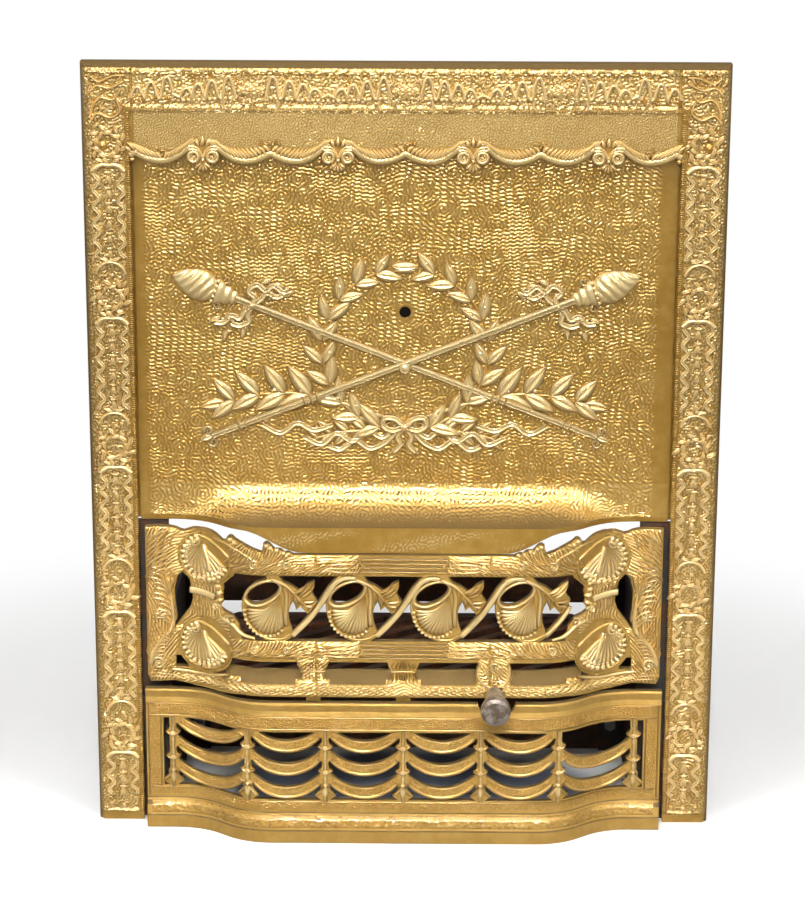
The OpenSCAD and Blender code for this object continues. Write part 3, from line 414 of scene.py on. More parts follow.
def strip(line, half, lift, across=7):
    # a closed solid along a line: half is its half width along it, lift(s, t) how proud it stands
    line = np.asarray(line, dtype=float)
    n = len(line)
    s = np.linspace(0, 1, n)
    t = np.linspace(-1, 1, across)
    way = np.gradient(line, axis=0)
    way /= np.maximum(np.linalg.norm(way, axis=1, keepdims=True), 1e-9)
    side = np.stack([-way[:, 1], way[:, 0]], -1)
    wide = half(s) if callable(half) else np.full(n, float(half))
    flat = line[:, None, :] + side[:, None, :] * (wide[:, None] * t[None, :])[:, :, None]
    top = lift(s[:, None] + 0 * t[None, :], t[None, :] + 0 * s[:, None])
    front = np.concatenate([flat, top[:, :, None]], 2).reshape(-1, 3)
    low = np.concatenate([flat[:, [0, -1]], np.full((n, 2, 1), -backDepth)], 2).reshape(-1, 3)
    m = across
    j, i = np.meshgrid(np.arange(n - 1), np.arange(m - 1), indexing="ij")
    a = (j * m + i).ravel()
    faces = [tuple(f) for f in np.stack([a, a + 1, a + m + 1, a + m], -1).tolist()]
    k = n * m
    for j in range(n - 1):
        faces.append((k + 2 * j, k + 2 * j + 2, k + 2 * j + 3, k + 2 * j + 1)[::-1])
        faces.append((j * m, (j + 1) * m, k + 2 * j + 2, k + 2 * j))
        faces.append(((j + 1) * m - 1, k + 2 * j + 1, k + 2 * j + 3, (j + 2) * m - 1))
    faces.append(tuple(range(m - 1, -1, -1)) + (k, k + 1))
    faces.append(tuple(range((n - 1) * m, n * m)) + (k + 2 * n - 1, k + 2 * n - 2))
    return np.vstack([front, low]), faces


def dome(rx, rz, height, rings, around, shape=None):
    # a rounded button: shape(r, a) may give its height from 0 at the rim's middle to 1
    a = np.linspace(0, 2 * math.pi, around, endpoint=False)
    points = [(0, 0, height if shape is None else height * shape(0.0, 0.0))]
    for r in np.linspace(1 / rings, 1, rings):
        for angle in a:
            up = math.sqrt(max(1 - r * r, 0)) if shape is None else shape(r, angle)
            points.append((rx * r * math.cos(angle), rz * r * math.sin(angle), height * up))
    for angle in a:
        points.append((rx * math.cos(angle), rz * math.sin(angle), -backDepth))
    faces = [(0, 1 + i, 1 + (i + 1) % around) for i in range(around)]
    for ring in range(rings):
        k = 1 + ring * around
        for i in range(around):
            faces.append((k + i, k + around + i, k + around + (i + 1) % around, k + (i + 1) % around))
    faces.append(tuple(1 + rings * around + i for i in range(around - 1, -1, -1)))
    return np.array(points), faces


def turned(solid, angle=0.0, scale=1.0, at=(0, 0), flip=False, rise=0.0, tall=1.0):
    points, faces = solid
    p = points.copy()
    if flip:
        p[:, 0] = -p[:, 0]
        faces = [f[::-1] for f in faces]
    c, s = math.cos(math.radians(angle)), math.sin(math.radians(angle))
    u, v = p[:, 0] * scale, p[:, 1] * scale
    return np.stack([at[0] + c * u - s * v, at[1] + s * u + c * v, p[:, 2] * scale * tall + rise], -1), faces


class Relief:          # gathers small solids drawn flat, and lays them on a surface as one piece
    def __init__(self):
        self.points, self.faces, self.count = [], [], 0

    def add(self, solid, **moves):
        points, faces = turned(solid, **moves) if moves else solid
        self.points.append(points)
        self.faces += [tuple(i + self.count for i in f) for f in faces]
        self.count += len(points)

    def addAll(self, other, **moves):
        self.add((np.vstack(other.points), other.faces), **moves)

    def knob(self, size, at, rise=0.0, tall=1.0):
        self.add(bead, scale=size, at=at, rise=rise, tall=tall)

    def blade(self, points, wide, height, steps=6, **moves):
        self.add(stroke(smoothLine(points, steps), wide, height), **moves)

    def build(self, name, surface, finish, body="insert_frame", smooth=50):
        flat = np.vstack(self.points)
        place = toRow(surface(flat[:, 0], flat[:, 1], flat[:, 2]))
        meshPiece(name, place, self.faces, finish, body, smooth, np.clip(flat[:, 2] / brightRise, 0, 1))


def meshPiece(name, points, faces, finish, body, smooth, lift):
    mesh = bpy.data.meshes.new(name)
    mesh.from_pydata(points.tolist(), [], faces)
    mesh.update()
    mesh.attributes.new("lift", "FLOAT", "POINT").data.foreach_set("value", np.asarray(lift, dtype=np.float32))
    piece = bpy.data.objects.new(name, mesh)
    bpy.context.scene.collection.objects.link(piece)
    mesh.materials.append(materials[finish])
    bpy.ops.object.select_all(action="DESELECT")
    piece.select_set(True)
    bpy.context.view_layer.objects.active = piece
    bpy.ops.object.shade_smooth_by_angle(angle=math.radians(smooth))
    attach(piece, body)


def skin(name, us, vs, proud, surface, finish, body, sink=0.5, keep=None, top=1.0, bent=False):
    # a closed sheet of relief on a grid: us across, vs up, proud[v, u]; keep tells which cells stay, top is the
    # height that counts as the highest, and a bent sheet needs a back with all of the grid
    nu, nv = len(us), len(vs)
    u, v = np.meshgrid(us, vs)
    front = surface(u.ravel(), v.ravel(), proud.ravel())
    back = surface(u.ravel(), v.ravel(), np.full(nu * nv, -sink))
    whole = keep is None or keep.all()
    keep = np.ones((nv - 1, nu - 1), dtype=bool) if keep is None else keep
    j, i = np.nonzero(keep)
    a = j * nu + i
    low = nu * nv
    faces = np.stack([a, a + 1, a + nu + 1, a + nu], -1).tolist()
    if whole and not bent:
        rim = np.concatenate([np.arange(nu), np.arange(1, nv) * nu + nu - 1,
                              (nv - 1) * nu + np.arange(nu - 2, -1, -1), np.arange(nv - 2, 0, -1) * nu])
        after = np.roll(rim, -1)
        faces += np.stack([after, rim, low + rim, low + after], -1).tolist()
        faces += np.stack([low + after, low + rim, np.full(len(rim), 2 * low)], -1).tolist()
        back = np.vstack([back, back[rim].mean(0)])
    else:
        faces += np.stack([low + a + nu, low + a + nu + 1, low + a + 1, low + a], -1).tolist()
        ring = np.pad(keep, 1)
        for rows, columns, first, last in ((0, 1, 0, 1), (2, 1, nu + 1, nu), (1, 2, 1, nu + 1), (1, 0, nu, 0)):
            edge = keep & ~ring[rows:rows + nv - 1, columns:columns + nu - 1]
            j, i = np.nonzero(edge)
            c = j * nu + i
            faces += np.stack([c + last, c + first, low + c + first, low + c + last], -1).tolist()
    points = np.vstack([front, back])
    used = np.unique(np.concatenate([np.ravel(f) for f in faces]))
    index = np.full(len(points), -1)
    index[used] = np.arange(len(used))
    renumbered = index.tolist()
    faces = [[renumbered[c] for c in f] for f in faces]
    lift = np.concatenate([np.clip(proud.ravel() / top, 0, 1), np.zeros(len(back))])
    meshPiece(name, toRow(points)[used], faces, finish, body, 60, lift[used])


flowSet = {"kinds": 8, "pitchBand": 0.34, "wayBand": 0.33, "blend": 0.28, "press": 0.8, "stippleBand": 0.45}


def flow(us, vs, pitch, angle, seed, rounds=6):
    # ridges of one pitch that run along angle(u, v), from 0 to 1
    s = flowSet
    step = us[1] - us[0]
    u, v = np.meshgrid(us, vs)
    rng = np.random.default_rng(seed)
    field = rng.normal(0, 1, u.shape)
    fu, fv = np.meshgrid(np.fft.fftfreq(len(us), step), np.fft.fftfreq(len(vs), step))
    size, way = np.hypot(fu, fv) * pitch, np.arctan2(fv, fu)
    lean = angle(u, v) + math.pi / 2
    masks, shares = [], []
    for k in range(s["kinds"]):
        middle = math.pi * k / s["kinds"]
        off = np.abs((way - middle + math.pi / 2) % math.pi - math.pi / 2)
        masks.append(np.exp(-((size - 1) / s["pitchBand"]) ** 2 - (off / s["wayBand"]) ** 2))
        away = np.abs((lean - middle + math.pi / 2) % math.pi - math.pi / 2)
        shares.append(np.exp(-(away / s["blend"]) ** 2))
    total = sum(shares)
    for again in range(rounds):
        wave = np.fft.fft2(field)
        field = sum(np.real(np.fft.ifft2(wave * m)) * w for m, w in zip(masks, shares)) / total
        field = np.tanh(field / (s["press"] * field.std() + 1e-6))
    return (field - field.min()) / (field.max() - field.min())


def stipple(us, vs, pitch, seed):         # fine lumps of one size at random, from 0 to 1
    rng = np.random.default_rng(seed)
    field = rng.normal(0, 1, (len(vs), len(us)))
    fu, fv = np.meshgrid(np.fft.fftfreq(len(us), us[1] - us[0]), np.fft.fftfreq(len(vs), vs[1] - vs[0]))
    ring = np.exp(-((np.hypot(fu, fv) * pitch - 1) / flowSet["stippleBand"]) ** 2)
    field = np.real(np.fft.ifft2(np.fft.fft2(field) * ring))
    return np.clip(0.5 + field / (4 * field.std()), 0, 1)


def cover(name, node, us, vs, lift, surface, finish, within=3.0, where=None, body="insert_frame", soft=3, top=1.6):
    # lays the relief lift[v, u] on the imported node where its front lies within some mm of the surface
    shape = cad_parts[node]
    tree = BVHTree.FromPolygons([shape.matrix_world @ c.co for c in shape.data.vertices],
                                [tuple(f.vertices) for f in shape.data.polygons])
    u, v = np.meshgrid(us, vs)
    ideal = toRow(surface(u.ravel(), v.ravel(), np.zeros(u.size)))
    depth = np.full(u.size, np.nan)
    for k, (x, y, z) in enumerate(ideal):
        hit = tree.ray_cast(Vector((x, -0.5, z)), Vector((0, 1, 0)))[0]
        if hit is not None and abs(hit.y - y) < within * mm:
            depth[k] = hit.y
    solid = ~np.isnan(depth).reshape(u.shape)
    if where is not None:
        solid &= where(u, v)
    deep = solid.astype(float)
    level = solid.copy()
    for k in range(soft):
        pad = np.pad(level, 1)
        level = pad[1:-1, 1:-1] & pad[:-2, 1:-1] & pad[2:, 1:-1] & pad[1:-1, :-2] & pad[1:-1, 2:]
        deep += level
    proud = 0.12 + lift * (deep - 1).clip(0) / soft
    keep = solid[1:, 1:] & solid[1:, :-1] & solid[:-1, 1:] & solid[:-1, :-1]
    depth = np.where(solid, depth.reshape(u.shape), 0).ravel() / mm + faceShift
    straight = lambda a, b, w: np.stack([a, depth - w, b], -1)
    skin(name, us, vs, proud, straight, finish, body, keep=keep, top=top)


# ---- the summer cover: whorls cast all over it
coverSet = {"front": 9.0, "halfWide": 257.5, "top": 688.0, "flareTop": 352.0, "flareReach": 54.0, "flareLow": 322.0,
            "cuts": (-172, -96, -20, 20, 96, 172), "lap": 2.0, "leftMargin": 250, "rightMargin": 243,
            "whorlPitch": 3.6, "whorlSpace": 27.0, "whorlProud": 0.82, "whorlSharp": 2.6, "base": 0.15,
            "ringWeight": 2.4, "ringReach": (4.5, 8.0), "waveWeight": 0.38, "noise": 0.7, "waver": 0.7, "rounds": 9,
            "holeHeight": 522, "holeRadius": 6.7, "holeRim": 7.6, "edgeGap": 0.4, "edgeFade": 3, "step": 0.85,
            "flareStep": 0.95, "flareRows": 44, "flareFoot": 323.0, "lipProud": 0.5, "lipStep": 0.8,
            "lip": (297.0, 321.0), "lipHalf": 246, "seed": 5}
fieldSet = {"left": -270, "low": 290, "wide": 540, "tall": 420, "step": 0.6, "band": 0.28, "press": 0.8,
            "seedLow": 300, "seedWide": 560, "seedTall": 440, "rowShare": 0.86, "wander": 10}


def creaseHeight(x):
    return 318.0 + 4.0 * bowDepth(x) / bow["rise"]


def onCover(u, v, w):  # plain above the flare; below it v runs down the quarter round of the flare
    reach = coverSet["flareReach"] * bowDepth(u) / bow["rise"]
    rise = coverSet["flareTop"] - creaseHeight(u)
    a = np.clip((coverSet["flareTop"] - v) / (coverSet["flareTop"] - coverSet["flareLow"]), 0, 1) * math.pi / 2
    y = coverSet["front"] - reach * (1 - np.cos(a))
    z = np.where(v > coverSet["flareTop"], v, coverSet["flareTop"] - rise * np.sin(a))
    ny, nz = rise * np.cos(a), reach * np.sin(a)
    size = np.sqrt(ny ** 2 + nz ** 2) + 1e-6
    return np.stack([u, y - w * ny / size, z + w * nz / size], -1)


def whorlField():      # seeds of rings grown into meandering ridges of one pitch
    c, f = coverSet, fieldSet
    step = f["step"]
    nu, nv = int(f["wide"] / step), int(f["tall"] / step)
    u, v = np.meshgrid(f["left"] + step * np.arange(nu), f["low"] + step * np.arange(nv))
    rng = np.random.default_rng(c["seed"])
    field = rng.normal(0, c["noise"], u.shape)
    drift = 9 * np.sin(u / 31 + 1.2 * np.sin(v / 37)) + 7 * np.sin(v / 23 + u / 41) + 0.35 * u
    field += c["waveWeight"] * np.cos(2 * math.pi * (v + drift) / c["whorlPitch"])
    for row in range(-1, int(f["seedTall"] / c["whorlSpace"] / f["rowShare"]) + 1):
        for column in range(-1, int(f["seedWide"] / c["whorlSpace"]) + 1):
            cx = f["left"] + (column + 0.5 * (row % 2)) * c["whorlSpace"] + rng.uniform(-f["wander"], f["wander"])
            cz = f["seedLow"] + row * c["whorlSpace"] * f["rowShare"] + rng.uniform(-f["wander"], f["wander"])
            d, turn = np.hypot(u - cx, v - cz), rng.choice((-1, 1)) * np.arctan2(v - cz, u - cx)
            fall = np.exp(-(d / rng.uniform(*c["ringReach"])) ** 4)
            field += c["ringWeight"] * np.cos(2 * math.pi * d / c["whorlPitch"] - turn) * fall
    fu, fv = np.meshgrid(np.fft.fftfreq(nu, step), np.fft.fftfreq(nv, step))
    ring = np.exp(-((np.hypot(fu, fv) * c["whorlPitch"] - 1) / f["band"]) ** 2)
    for again in range(c["rounds"]):
        field = np.tanh(field / (f["press"] * field.std() + 1e-6))
        field = np.real(np.fft.ifft2(np.fft.fft2(field) * ring))
    field = np.tanh(field / field.std())
    field = (field - field.min()) / (field.max() - field.min())

    def bentField(x, z):   # the ridges waver, which makes the rings angular
        a = c["waver"] * np.sin(x * 0.92 + 1.1 * np.sin(z * 0.11))
        b = c["waver"] * np.sin(z * 0.83 + 1.1 * np.sin(x * 0.13))
        return sample(field, (x + b - f["left"]) / step, (z + a - f["low"]) / step)
    return bentField


def sample(field, column, row):         # reads a grid between its points
    column = np.clip(column, 0, field.shape[1] - 1.001)
    row = np.clip(row, 0, field.shape[0] - 1.001)
    i, j = column.astype(int), row.astype(int)
    p, q = column - i, row - j
    return ((field[j, i] * (1 - p) + field[j, i + 1] * p) * (1 - q)
            + (field[j + 1, i] * (1 - p) + field[j + 1, i + 1] * p) * q)


def makeCoverSkin():
    c = coverSet
    whorls = whorlField()
    half = c["halfWide"] - c["edgeGap"]
    edges = (-half,) + c["cuts"] + (half,)
    top, lap = c["top"], c["lap"]      # each sheet dives under the next, so that no seam shows
    tallest = c["whorlProud"] + c["base"]

    def plainEdge(u):      # the whorls fade out before the plain margins
        return np.clip(np.minimum(u + c["leftMargin"], c["rightMargin"] - u) / c["edgeFade"], 0, 1)

    for k, letter in enumerate("ABCDEFG"):
        first, last = edges[k] - lap * (k > 0), edges[k + 1] + lap * (k < 6)
        us = np.linspace(first, last, int((last - first) / c["step"]) + 1)
        vs = np.linspace(c["flareTop"] - 2, top, int((top - c["flareTop"] + 2) / c["step"]) + 1)
        u, v = np.meshgrid(us, vs)
        away = np.hypot(u, v - c["holeHeight"])
        edge = plainEdge(u) * np.clip((away - 8) / 3, 0, 1)
        proud = c["base"] + c["whorlProud"] * whorls(u, v) ** c["whorlSharp"] * edge
        proud += 0.3 * np.exp(-((away - c["holeRim"]) / 0.9) ** 2)
        proud -= 0.2 * np.clip(np.maximum(edges[k] - u, u - edges[k + 1]), 0, lap)
        proud -= 0.12 * np.clip(c["flareTop"] - v, 0, 2)
        keep = (away[1:, 1:] + away[:-1, :-1]) / 2 > c["holeRadius"] if letter == "D" else None
        skin("coverField" + letter, us, vs, proud, onPlane(c["front"]), "whorled", "cover", sink=1.2, keep=keep,
             top=tallest)
    us = np.linspace(-half, half, int(2 * half / c["flareStep"]))
    vs = np.linspace(c["flareFoot"], c["flareTop"], c["flareRows"])
    u, v = np.meshgrid(us, vs)
    edge = plainEdge(u) * np.clip((v - c["flareFoot"] - 1) / 4, 0, 1)
    proud = c["base"] + c["whorlProud"] * whorls(u, v * 1.6 - 211) ** c["whorlSharp"] * edge
    skin("coverFlare", us, vs, proud, onCover, "flared", "cover", sink=1.0, top=tallest, bent=True)
    us, vs = np.arange(-half + 1, half - 1, c["lipStep"]), np.arange(*c["lip"], c["lipStep"])
    onLip = lambda u, v, w: np.stack([u, c["front"] - c["flareReach"] * bowDepth(u) / bow["rise"] - w, v], -1)
    u, v = np.meshgrid(us, vs)
    worn = np.clip(0.5 + 0.5 * np.sin(u / 21.0 + 2 * np.sin(v / 9.0)), 0.25, 1)
    cover("coverLip", "summer_cover", us, vs, c["lipProud"] * worn * whorls(u, v + 40) ** 2, onLip, "whorled", 6.0,
          lambda u, v: (v < creaseHeight(u) - 2) & (np.abs(u) < c["lipHalf"]), "cover", top=c["lipProud"])


makeCoverSkin()
print("cover field")

# ---- motifs that the castings repeat
def leaf(length, width, height, valley=0.5):
    s = np.linspace(0, 1, 9)
    line = np.stack([0 * s, length * s], -1)
    half = lambda s: width / 2 * np.maximum(np.sin(math.pi * s ** 0.8) ** 0.85, 0.06)
    lift = lambda s, t: height * (0.35 + 0.65 * np.sin(math.pi * np.clip(s * 1.05, 0, 1)) ** 0.5) * (
        (1 - np.abs(t) ** 2.5) * 0.9 + 0.1 - (1 - valley) * np.exp(-(t / 0.28) ** 2))
    return strip(line, half, lift)


def rope(line, radius, tall=1.0, across=7, taper=None):            # a half-round bar along a line
    half = (lambda s: radius * taper(s)) if taper else radius
    lift = lambda s, t: radius * tall * (taper(s) if taper else 1) * np.sqrt(np.maximum(1 - t * t, 0))
    return strip(line, half, lift, across)


def band(line, half, height, curl):        # a flat ribbon with turned-up edges
    lift = lambda s, t: height * (1 - curl + curl * t * t * 1.6) * np.where(np.abs(t) > 0.98, 0.55, 1)
    return strip(line, half, lift)


def ribbon(line, half, height, drop, across=5):    # a ribbon whose edges fall off by drop
    return strip(line, half, lambda s, t: height * (1 - drop * t * t), across)


def spiral(radius, turns, height, thick, start=0.0, turn=1):
    a = np.linspace(0, turns * 2 * math.pi, int(22 * turns))
    r = radius * (1 - 0.86 * a / a[-1])
    line = np.stack([r * np.cos(start + turn * a), r * np.sin(start + turn * a)], -1)
    lift = lambda s, t: height * (0.6 + 0.4 * s) * np.sqrt(1 - t * t * 0.98)
    return strip(line, lambda s: thick * (1 - 0.5 * s), lift, 6)


def fan(radius, lobes, first, last, height, tall):     # a fluted shell spread between two angles from its hub
    rings, tallRim, scallop = 9, 0.7, 0.1
    n = lobes * 6
    a = np.radians(np.linspace(first, last, n + 1))
    wave = np.abs(np.sin(np.linspace(0, lobes * math.pi, n + 1)))
    reach = radius * (1 - scallop + scallop * wave)
    r = np.linspace(0.02, 1, rings)
    u = reach[None, :] * r[:, None] * np.cos(a)[None, :]
    v = reach[None, :] * r[:, None] * np.sin(a)[None, :] * tall
    fall = 1 - 0.45 * np.clip((r[:, None] - tallRim) / (1 - tallRim), 0, 1) ** 2
    w = height * (0.35 + 0.65 * r[:, None] ** 0.7 * fall) * (0.42 + 0.58 * wave[None, :] ** 0.8)
    front = np.stack([u, v, w], -1).reshape(-1, 3)
    m = n + 1
    edge = list(range(m)) + [j * m + n for j in range(1, rings)]
    edge += [(rings - 1) * m + k for k in range(n - 1, -1, -1)] + [j * m for j in range(rings - 2, 0, -1)]
    low = front[edge].copy()
    low[:, 2] = -backDepth
    j, i = np.meshgrid(np.arange(rings - 1), np.arange(n), indexing="ij")
    q = (j * m + i).ravel()
    faces = [tuple(f) for f in np.stack([q, q + m, q + m + 1, q + 1], -1).tolist()]
    k = rings * m
    for e in range(len(edge)):
        f = (e + 1) % len(edge)
        faces.append((edge[e], edge[f], k + f, k + e))
    faces.append(tuple(range(k + len(edge) - 1, k - 1, -1)))
    return np.vstack([front, low]), faces


def rosette(radius, petals, height):
    def shape(r, a):
        if r == 0:
            return 0.5
        return (0.35 + 0.65 * abs(math.sin(a * petals / 2))) * math.sin(math.pi * min(r * 0.86 + 0.12, 1)) ** 0.7
    return dome(radius, radius, height, 4, petals * 4, shape=shape)


def flute(line, first, last, height):      # a rounded ridge that widens from its start
    half = lambda s: first + (last - first) * s
    lift = lambda s, t: (height * (0.3 + 0.7 * s ** 0.6) * np.sqrt(np.maximum(1 - t * t, 0))
                         * np.clip((1.03 - s) * 9, 0.25, 1))
    return strip(line, half, lift, 5)


def stroke(line, wide, height):            # a leaf blade: pointed at both ends, with a sharp back
    half = lambda s: wide * np.maximum(np.sin(math.pi * np.clip(0.12 + s * 0.86, 0, 1)) ** 0.7, 0.1)
    lift = lambda s, t: height * np.sin(math.pi * np.clip(0.15 + 0.83 * s, 0, 1)) ** 0.5 * (1 - np.abs(t) ** 1.4)
    return strip(line, half, lift, 5)


bead = dome(1, 1, 1, 3, 8)
smallBead = dome(1, 1, 1, 2, 5)

# ---- the jambs: wreath rings, tied ribbons, bell-flower chains and a ladder of small bars
jambSet = {"middle": 280.2, "ringTop": 685.3, "ringPitch": 148.2, "ringWide": 13.4, "ringTall": 12.6, "proud": 3.3,
           "huskPitch": 14.4, "husks": 6, "lastHusks": 3, "rise": 0.9, "barPlace": 261.2, "barPitch": 2.05, "bars": 8,
           "from": 257.6, "to": 304.0, "plainTo": 264.5, "fadeAt": 303.4, "curlPitch": 3.1, "curl": 1.0, "step": 1.0,
           "seed": 9}


def curls(u, v):       # short strokes turning every way
    return 2.4 * np.sin(u / 3.1 + 1.3 * np.sin(v / 5.3)) + 2.2 * np.cos(v / 3.7 + 1.2 * np.sin(u / 4.1))


def lumps(relief, rng, x, z, wide, tall, count, size=(0.9, 1.7)):     # a scatter of small knobs and blades
    for k in range(count):
        u, v = x + rng.uniform(-wide, wide), z + rng.uniform(-tall, tall)
        if k % 2:
            relief.knob(rng.uniform(*size), (u, v), tall=1.2)
        else:
            small = leaf(rng.uniform(4, 7), rng.uniform(2.0, 3.0), 2.0, 0.8)
            relief.add(small, angle=rng.uniform(0, 360), at=(u, v))


def jambRing(rng):
    ring = Relief()
    j = jambSet
    for k in range(18):
        a = 360 * k / 18 + 8
        at = (j["ringWide"] * math.cos(math.radians(a)), j["ringTall"] * math.sin(math.radians(a)))
        size = rng.uniform(0.9, 1.2)
        turn = a + (38 if k % 2 else -32) + rng.uniform(-12, 12)
        ring.add(leaf(9.4, 5.2, j["proud"], 0.55), angle=turn, at=at, scale=size)
    for k in range(10):
        a = math.radians(36 * k + 20)
        r = rng.uniform(1.05, 1.25)
        ring.knob(1.6, (r * j["ringWide"] * math.cos(a), r * j["ringTall"] * math.sin(a)), tall=1.5)
    ring.add(rope(arcLine(0, 0, 9.6, 0, 360, 28), 1.2, 1.2))
    return ring


def husk():            # a bell flower seen from the side, hanging down
    h = Relief()
    for s in (-1, 1):
        h.add(leaf(10.5, 4.8, 2.7, 0.7), angle=180 - s * 24, at=(s * 1.4, 4))
        h.add(leaf(5.5, 3.0, 2.4, 0.7), angle=s * 62, at=(s * 0.6, 4.5))
    h.add(leaf(9, 3.6, 3.0, 0.8), angle=180, at=(0, 3.5))
    h.knob(2.3, (0, 5.4), tall=1.2)
    h.knob(1.4, (0, -6.4), tall=1.4)
    return h


def jambDrop(rng, husks):      # what hangs under a ring, drawn from the ring's middle down
    drop = Relief()
    j = jambSet
    end = -27 - husks * j["huskPitch"]
    for s in (-1, 1):
        line = smoothLine([(0, -20.5), (s * 5, -20), (s * 10, -21.5), (s * 15, -26)])
        drop.add(ribbon(line, lambda q: 2.0 + 0.8 * q, 3.0, 0.6, 7))
        drop.add(leaf(9, 4.4, 2.7, 0.7), angle=-s * 62, at=(s * 4, -17.5))
        wave = [(s * (11.8 + 3.0 * math.sin(q * 1.6 + (0.4 if s > 0 else 1.4))), -27 - q * 4.1)
                for q in range(int((-27 - end) / 4.1))]
        drop.add(band(smoothLine(wave), 1.7, 2.6, 0.45))
        for q in range(2, len(wave), 3):
            drop.knob(1.3, (s * 15.4, wave[q][1]), tall=1.2)
            drop.add(leaf(6, 2.4, 1.9, 0.8), angle=s * rng.uniform(120, 200), at=(s * 15.6, wave[q][1] + 3))
    drop.knob(3.0, (0, -20.5), tall=1.05)
    for k in range(husks):
        drop.addAll(husk(), at=(0, -33 - k * j["huskPitch"]), scale=1.04 - 0.035 * k)
    for k in range(husks):
        z = -32 - (k + 0.5) * j["huskPitch"]
        for s in (-1, 1):
            drop.add(rope([(s * 6.4, z - 4), (s * 6.7, z), (s * 6.4, z + 4)], 0.9, 1.2, 5))
    return drop


def jambArch(rng):     # the arch over a ring with its knob, and the knot above it
    arch = Relief()
    arch.add(ribbon(arcLine(0, 20.5, 14.2, 12, 168, 26), 1.7, 2.9, 0.7, 7))
    arch.knob(2.5, (1.4, 22))
    arch.knob(1.5, (-5, 21.5), tall=1.2)
    lumps(arch, rng, 0, 38.5, 6.5, 3.4, 12)
    for s in (-1, 1):
        arch.add(leaf(10, 4.6, 2.8, 0.7), angle=-s * 70, at=(s * 1, 36))
        arch.add(leaf(8, 3.6, 2.4, 0.7), angle=s * 152, at=(s * 15, 17))
    return arch


def makeJambs():
    j = jambSet
    rng = np.random.default_rng(j["seed"])
    for side, name in ((1, "Right"), (-1, "Left")):
        jamb = Relief()
        middle = side * j["middle"]
        for k in range(5):
            at = (middle, j["ringTop"] - k * j["ringPitch"])
            jamb.addAll(jambRing(rng), at=at, rise=j["rise"])
            jamb.addAll(jambDrop(rng, j["husks"] if k < 4 else j["lastHusks"]), at=at, rise=j["rise"])
            if k:
                jamb.addAll(jambArch(rng), at=at, rise=j["rise"])
        jamb.knob(2.8, (middle, 15.5))
        for s in (-1, 1):
            jamb.knob(2.2, (middle + s * 12.5, 17), tall=1.1)
        jamb.build("jambRelief" + name, onPlane(0), "bright")
        row = Relief()
        place, count = 14.0, 0
        while place < 716:
            if count % (j["bars"] + 2) < j["bars"]:
                row.add(dome(2.5, 0.74, 1.9, 2, 8), at=(side * j["barPlace"], place))
            place += j["barPitch"]
            count += 1
        row.build("jambBars" + name, onPlane(-1.6), "bright", smooth=60)
        for part, low, high in (("Lower", 9.0, 357.5), ("Upper", 355.2, 757.5)):
            us = side * np.arange(j["from"], j["to"], j["step"])[::side]
            vs = np.arange(low, high, j["step"])
            ground = j["curl"] * flow(us, vs, j["curlPitch"], curls, 20 + side + int(low), rounds=3)
            u = np.abs(np.repeat(us[None, :], len(vs), 0))
            rich = (u > j["plainTo"]) | (vs[:, None] > headSet["low"] - 1.5)
            ground = ground * np.where(rich, 1, 0.15) * np.clip((j["fadeAt"] - u) / 2, 0, 1)
            cover("jambGround" + part + name, "outer_frame", us, vs, ground, onPlane(0), "sunken", 5.0, soft=1,
                  top=j["curl"])


# ---- the valance's edge, which the head's ground ends on too
valanceSet = {"pitch": 127.0, "cusp": 676.0, "lobe": 8.0, "shell": 9.0, "end": 259, "gap": 8.5, "lipHalf": 2.7,
              "lipRise": 2.3, "strokePitch": 3.5, "shellHeight": 674.6, "seed": 2}


def valanceEdge(x):
    v = valanceSet
    u = np.abs(np.asarray(x, dtype=float)) / v["pitch"]
    t = np.minimum(np.abs(u - np.round(u)) * v["pitch"], v["pitch"] / 2 - v["shell"] * 1.7)
    m = v["pitch"] * 0.19
    q = ((t - m) / m) ** 2
    return v["cusp"] + np.where(t < m, -v["lobe"] + v["lobe"] * q, -v["lobe"] + 1.5 * v["lobe"] * q)


# ---- the head: fluttering ribbons, flower clusters and a garland
headSet = {"low": 723.5, "unit": 145.0, "rise": 0.9, "top": 754.5, "corner": 283.0, "bead": 719.0, "beadPitch": 2.02,
           "ground": (661.0, 757.5), "stipple": 0.95, "stipplePitch": 2.2, "curl": 0.95, "curlPitch": 3.2, "step": 1.0,
           "seed": 21}
cornerRibbons = (([(-20, 750), (-8, 749), (4, 744), (12, 749)], 2.0),
                 ([(-19, 744), (-6, 738), (6, 740), (14, 733)], 2.2),
                 ([(-16, 736), (-9, 727), (3, 729), (10, 721), (13, 712)], 2.2),
                 ([(-13, 725), (-15, 716), (-6, 710), (6, 714), (13, 706)], 2.0))
cornerLeaves = ((-12, 742, 40), (10, 727, -140), (12, 741, -40), (-11, 729, 140), (0, 734, 0), (-22, 732, 100))


def flutter(s, points, low):           # a ribbon that flies up and down in narrow loops
    line = []
    for x, z in points:
        line += [(s * (x - 6.0), low + 1), (s * (x - 3.9), low + (z - low) * 0.55), (s * (x - 1.2), z),
                 (s * (x + 1.6), z - 0.4), (s * (x + 4.2), low + (z - low) * 0.6), (s * (x + 6.2), low)]
    return smoothLine(line, 4)


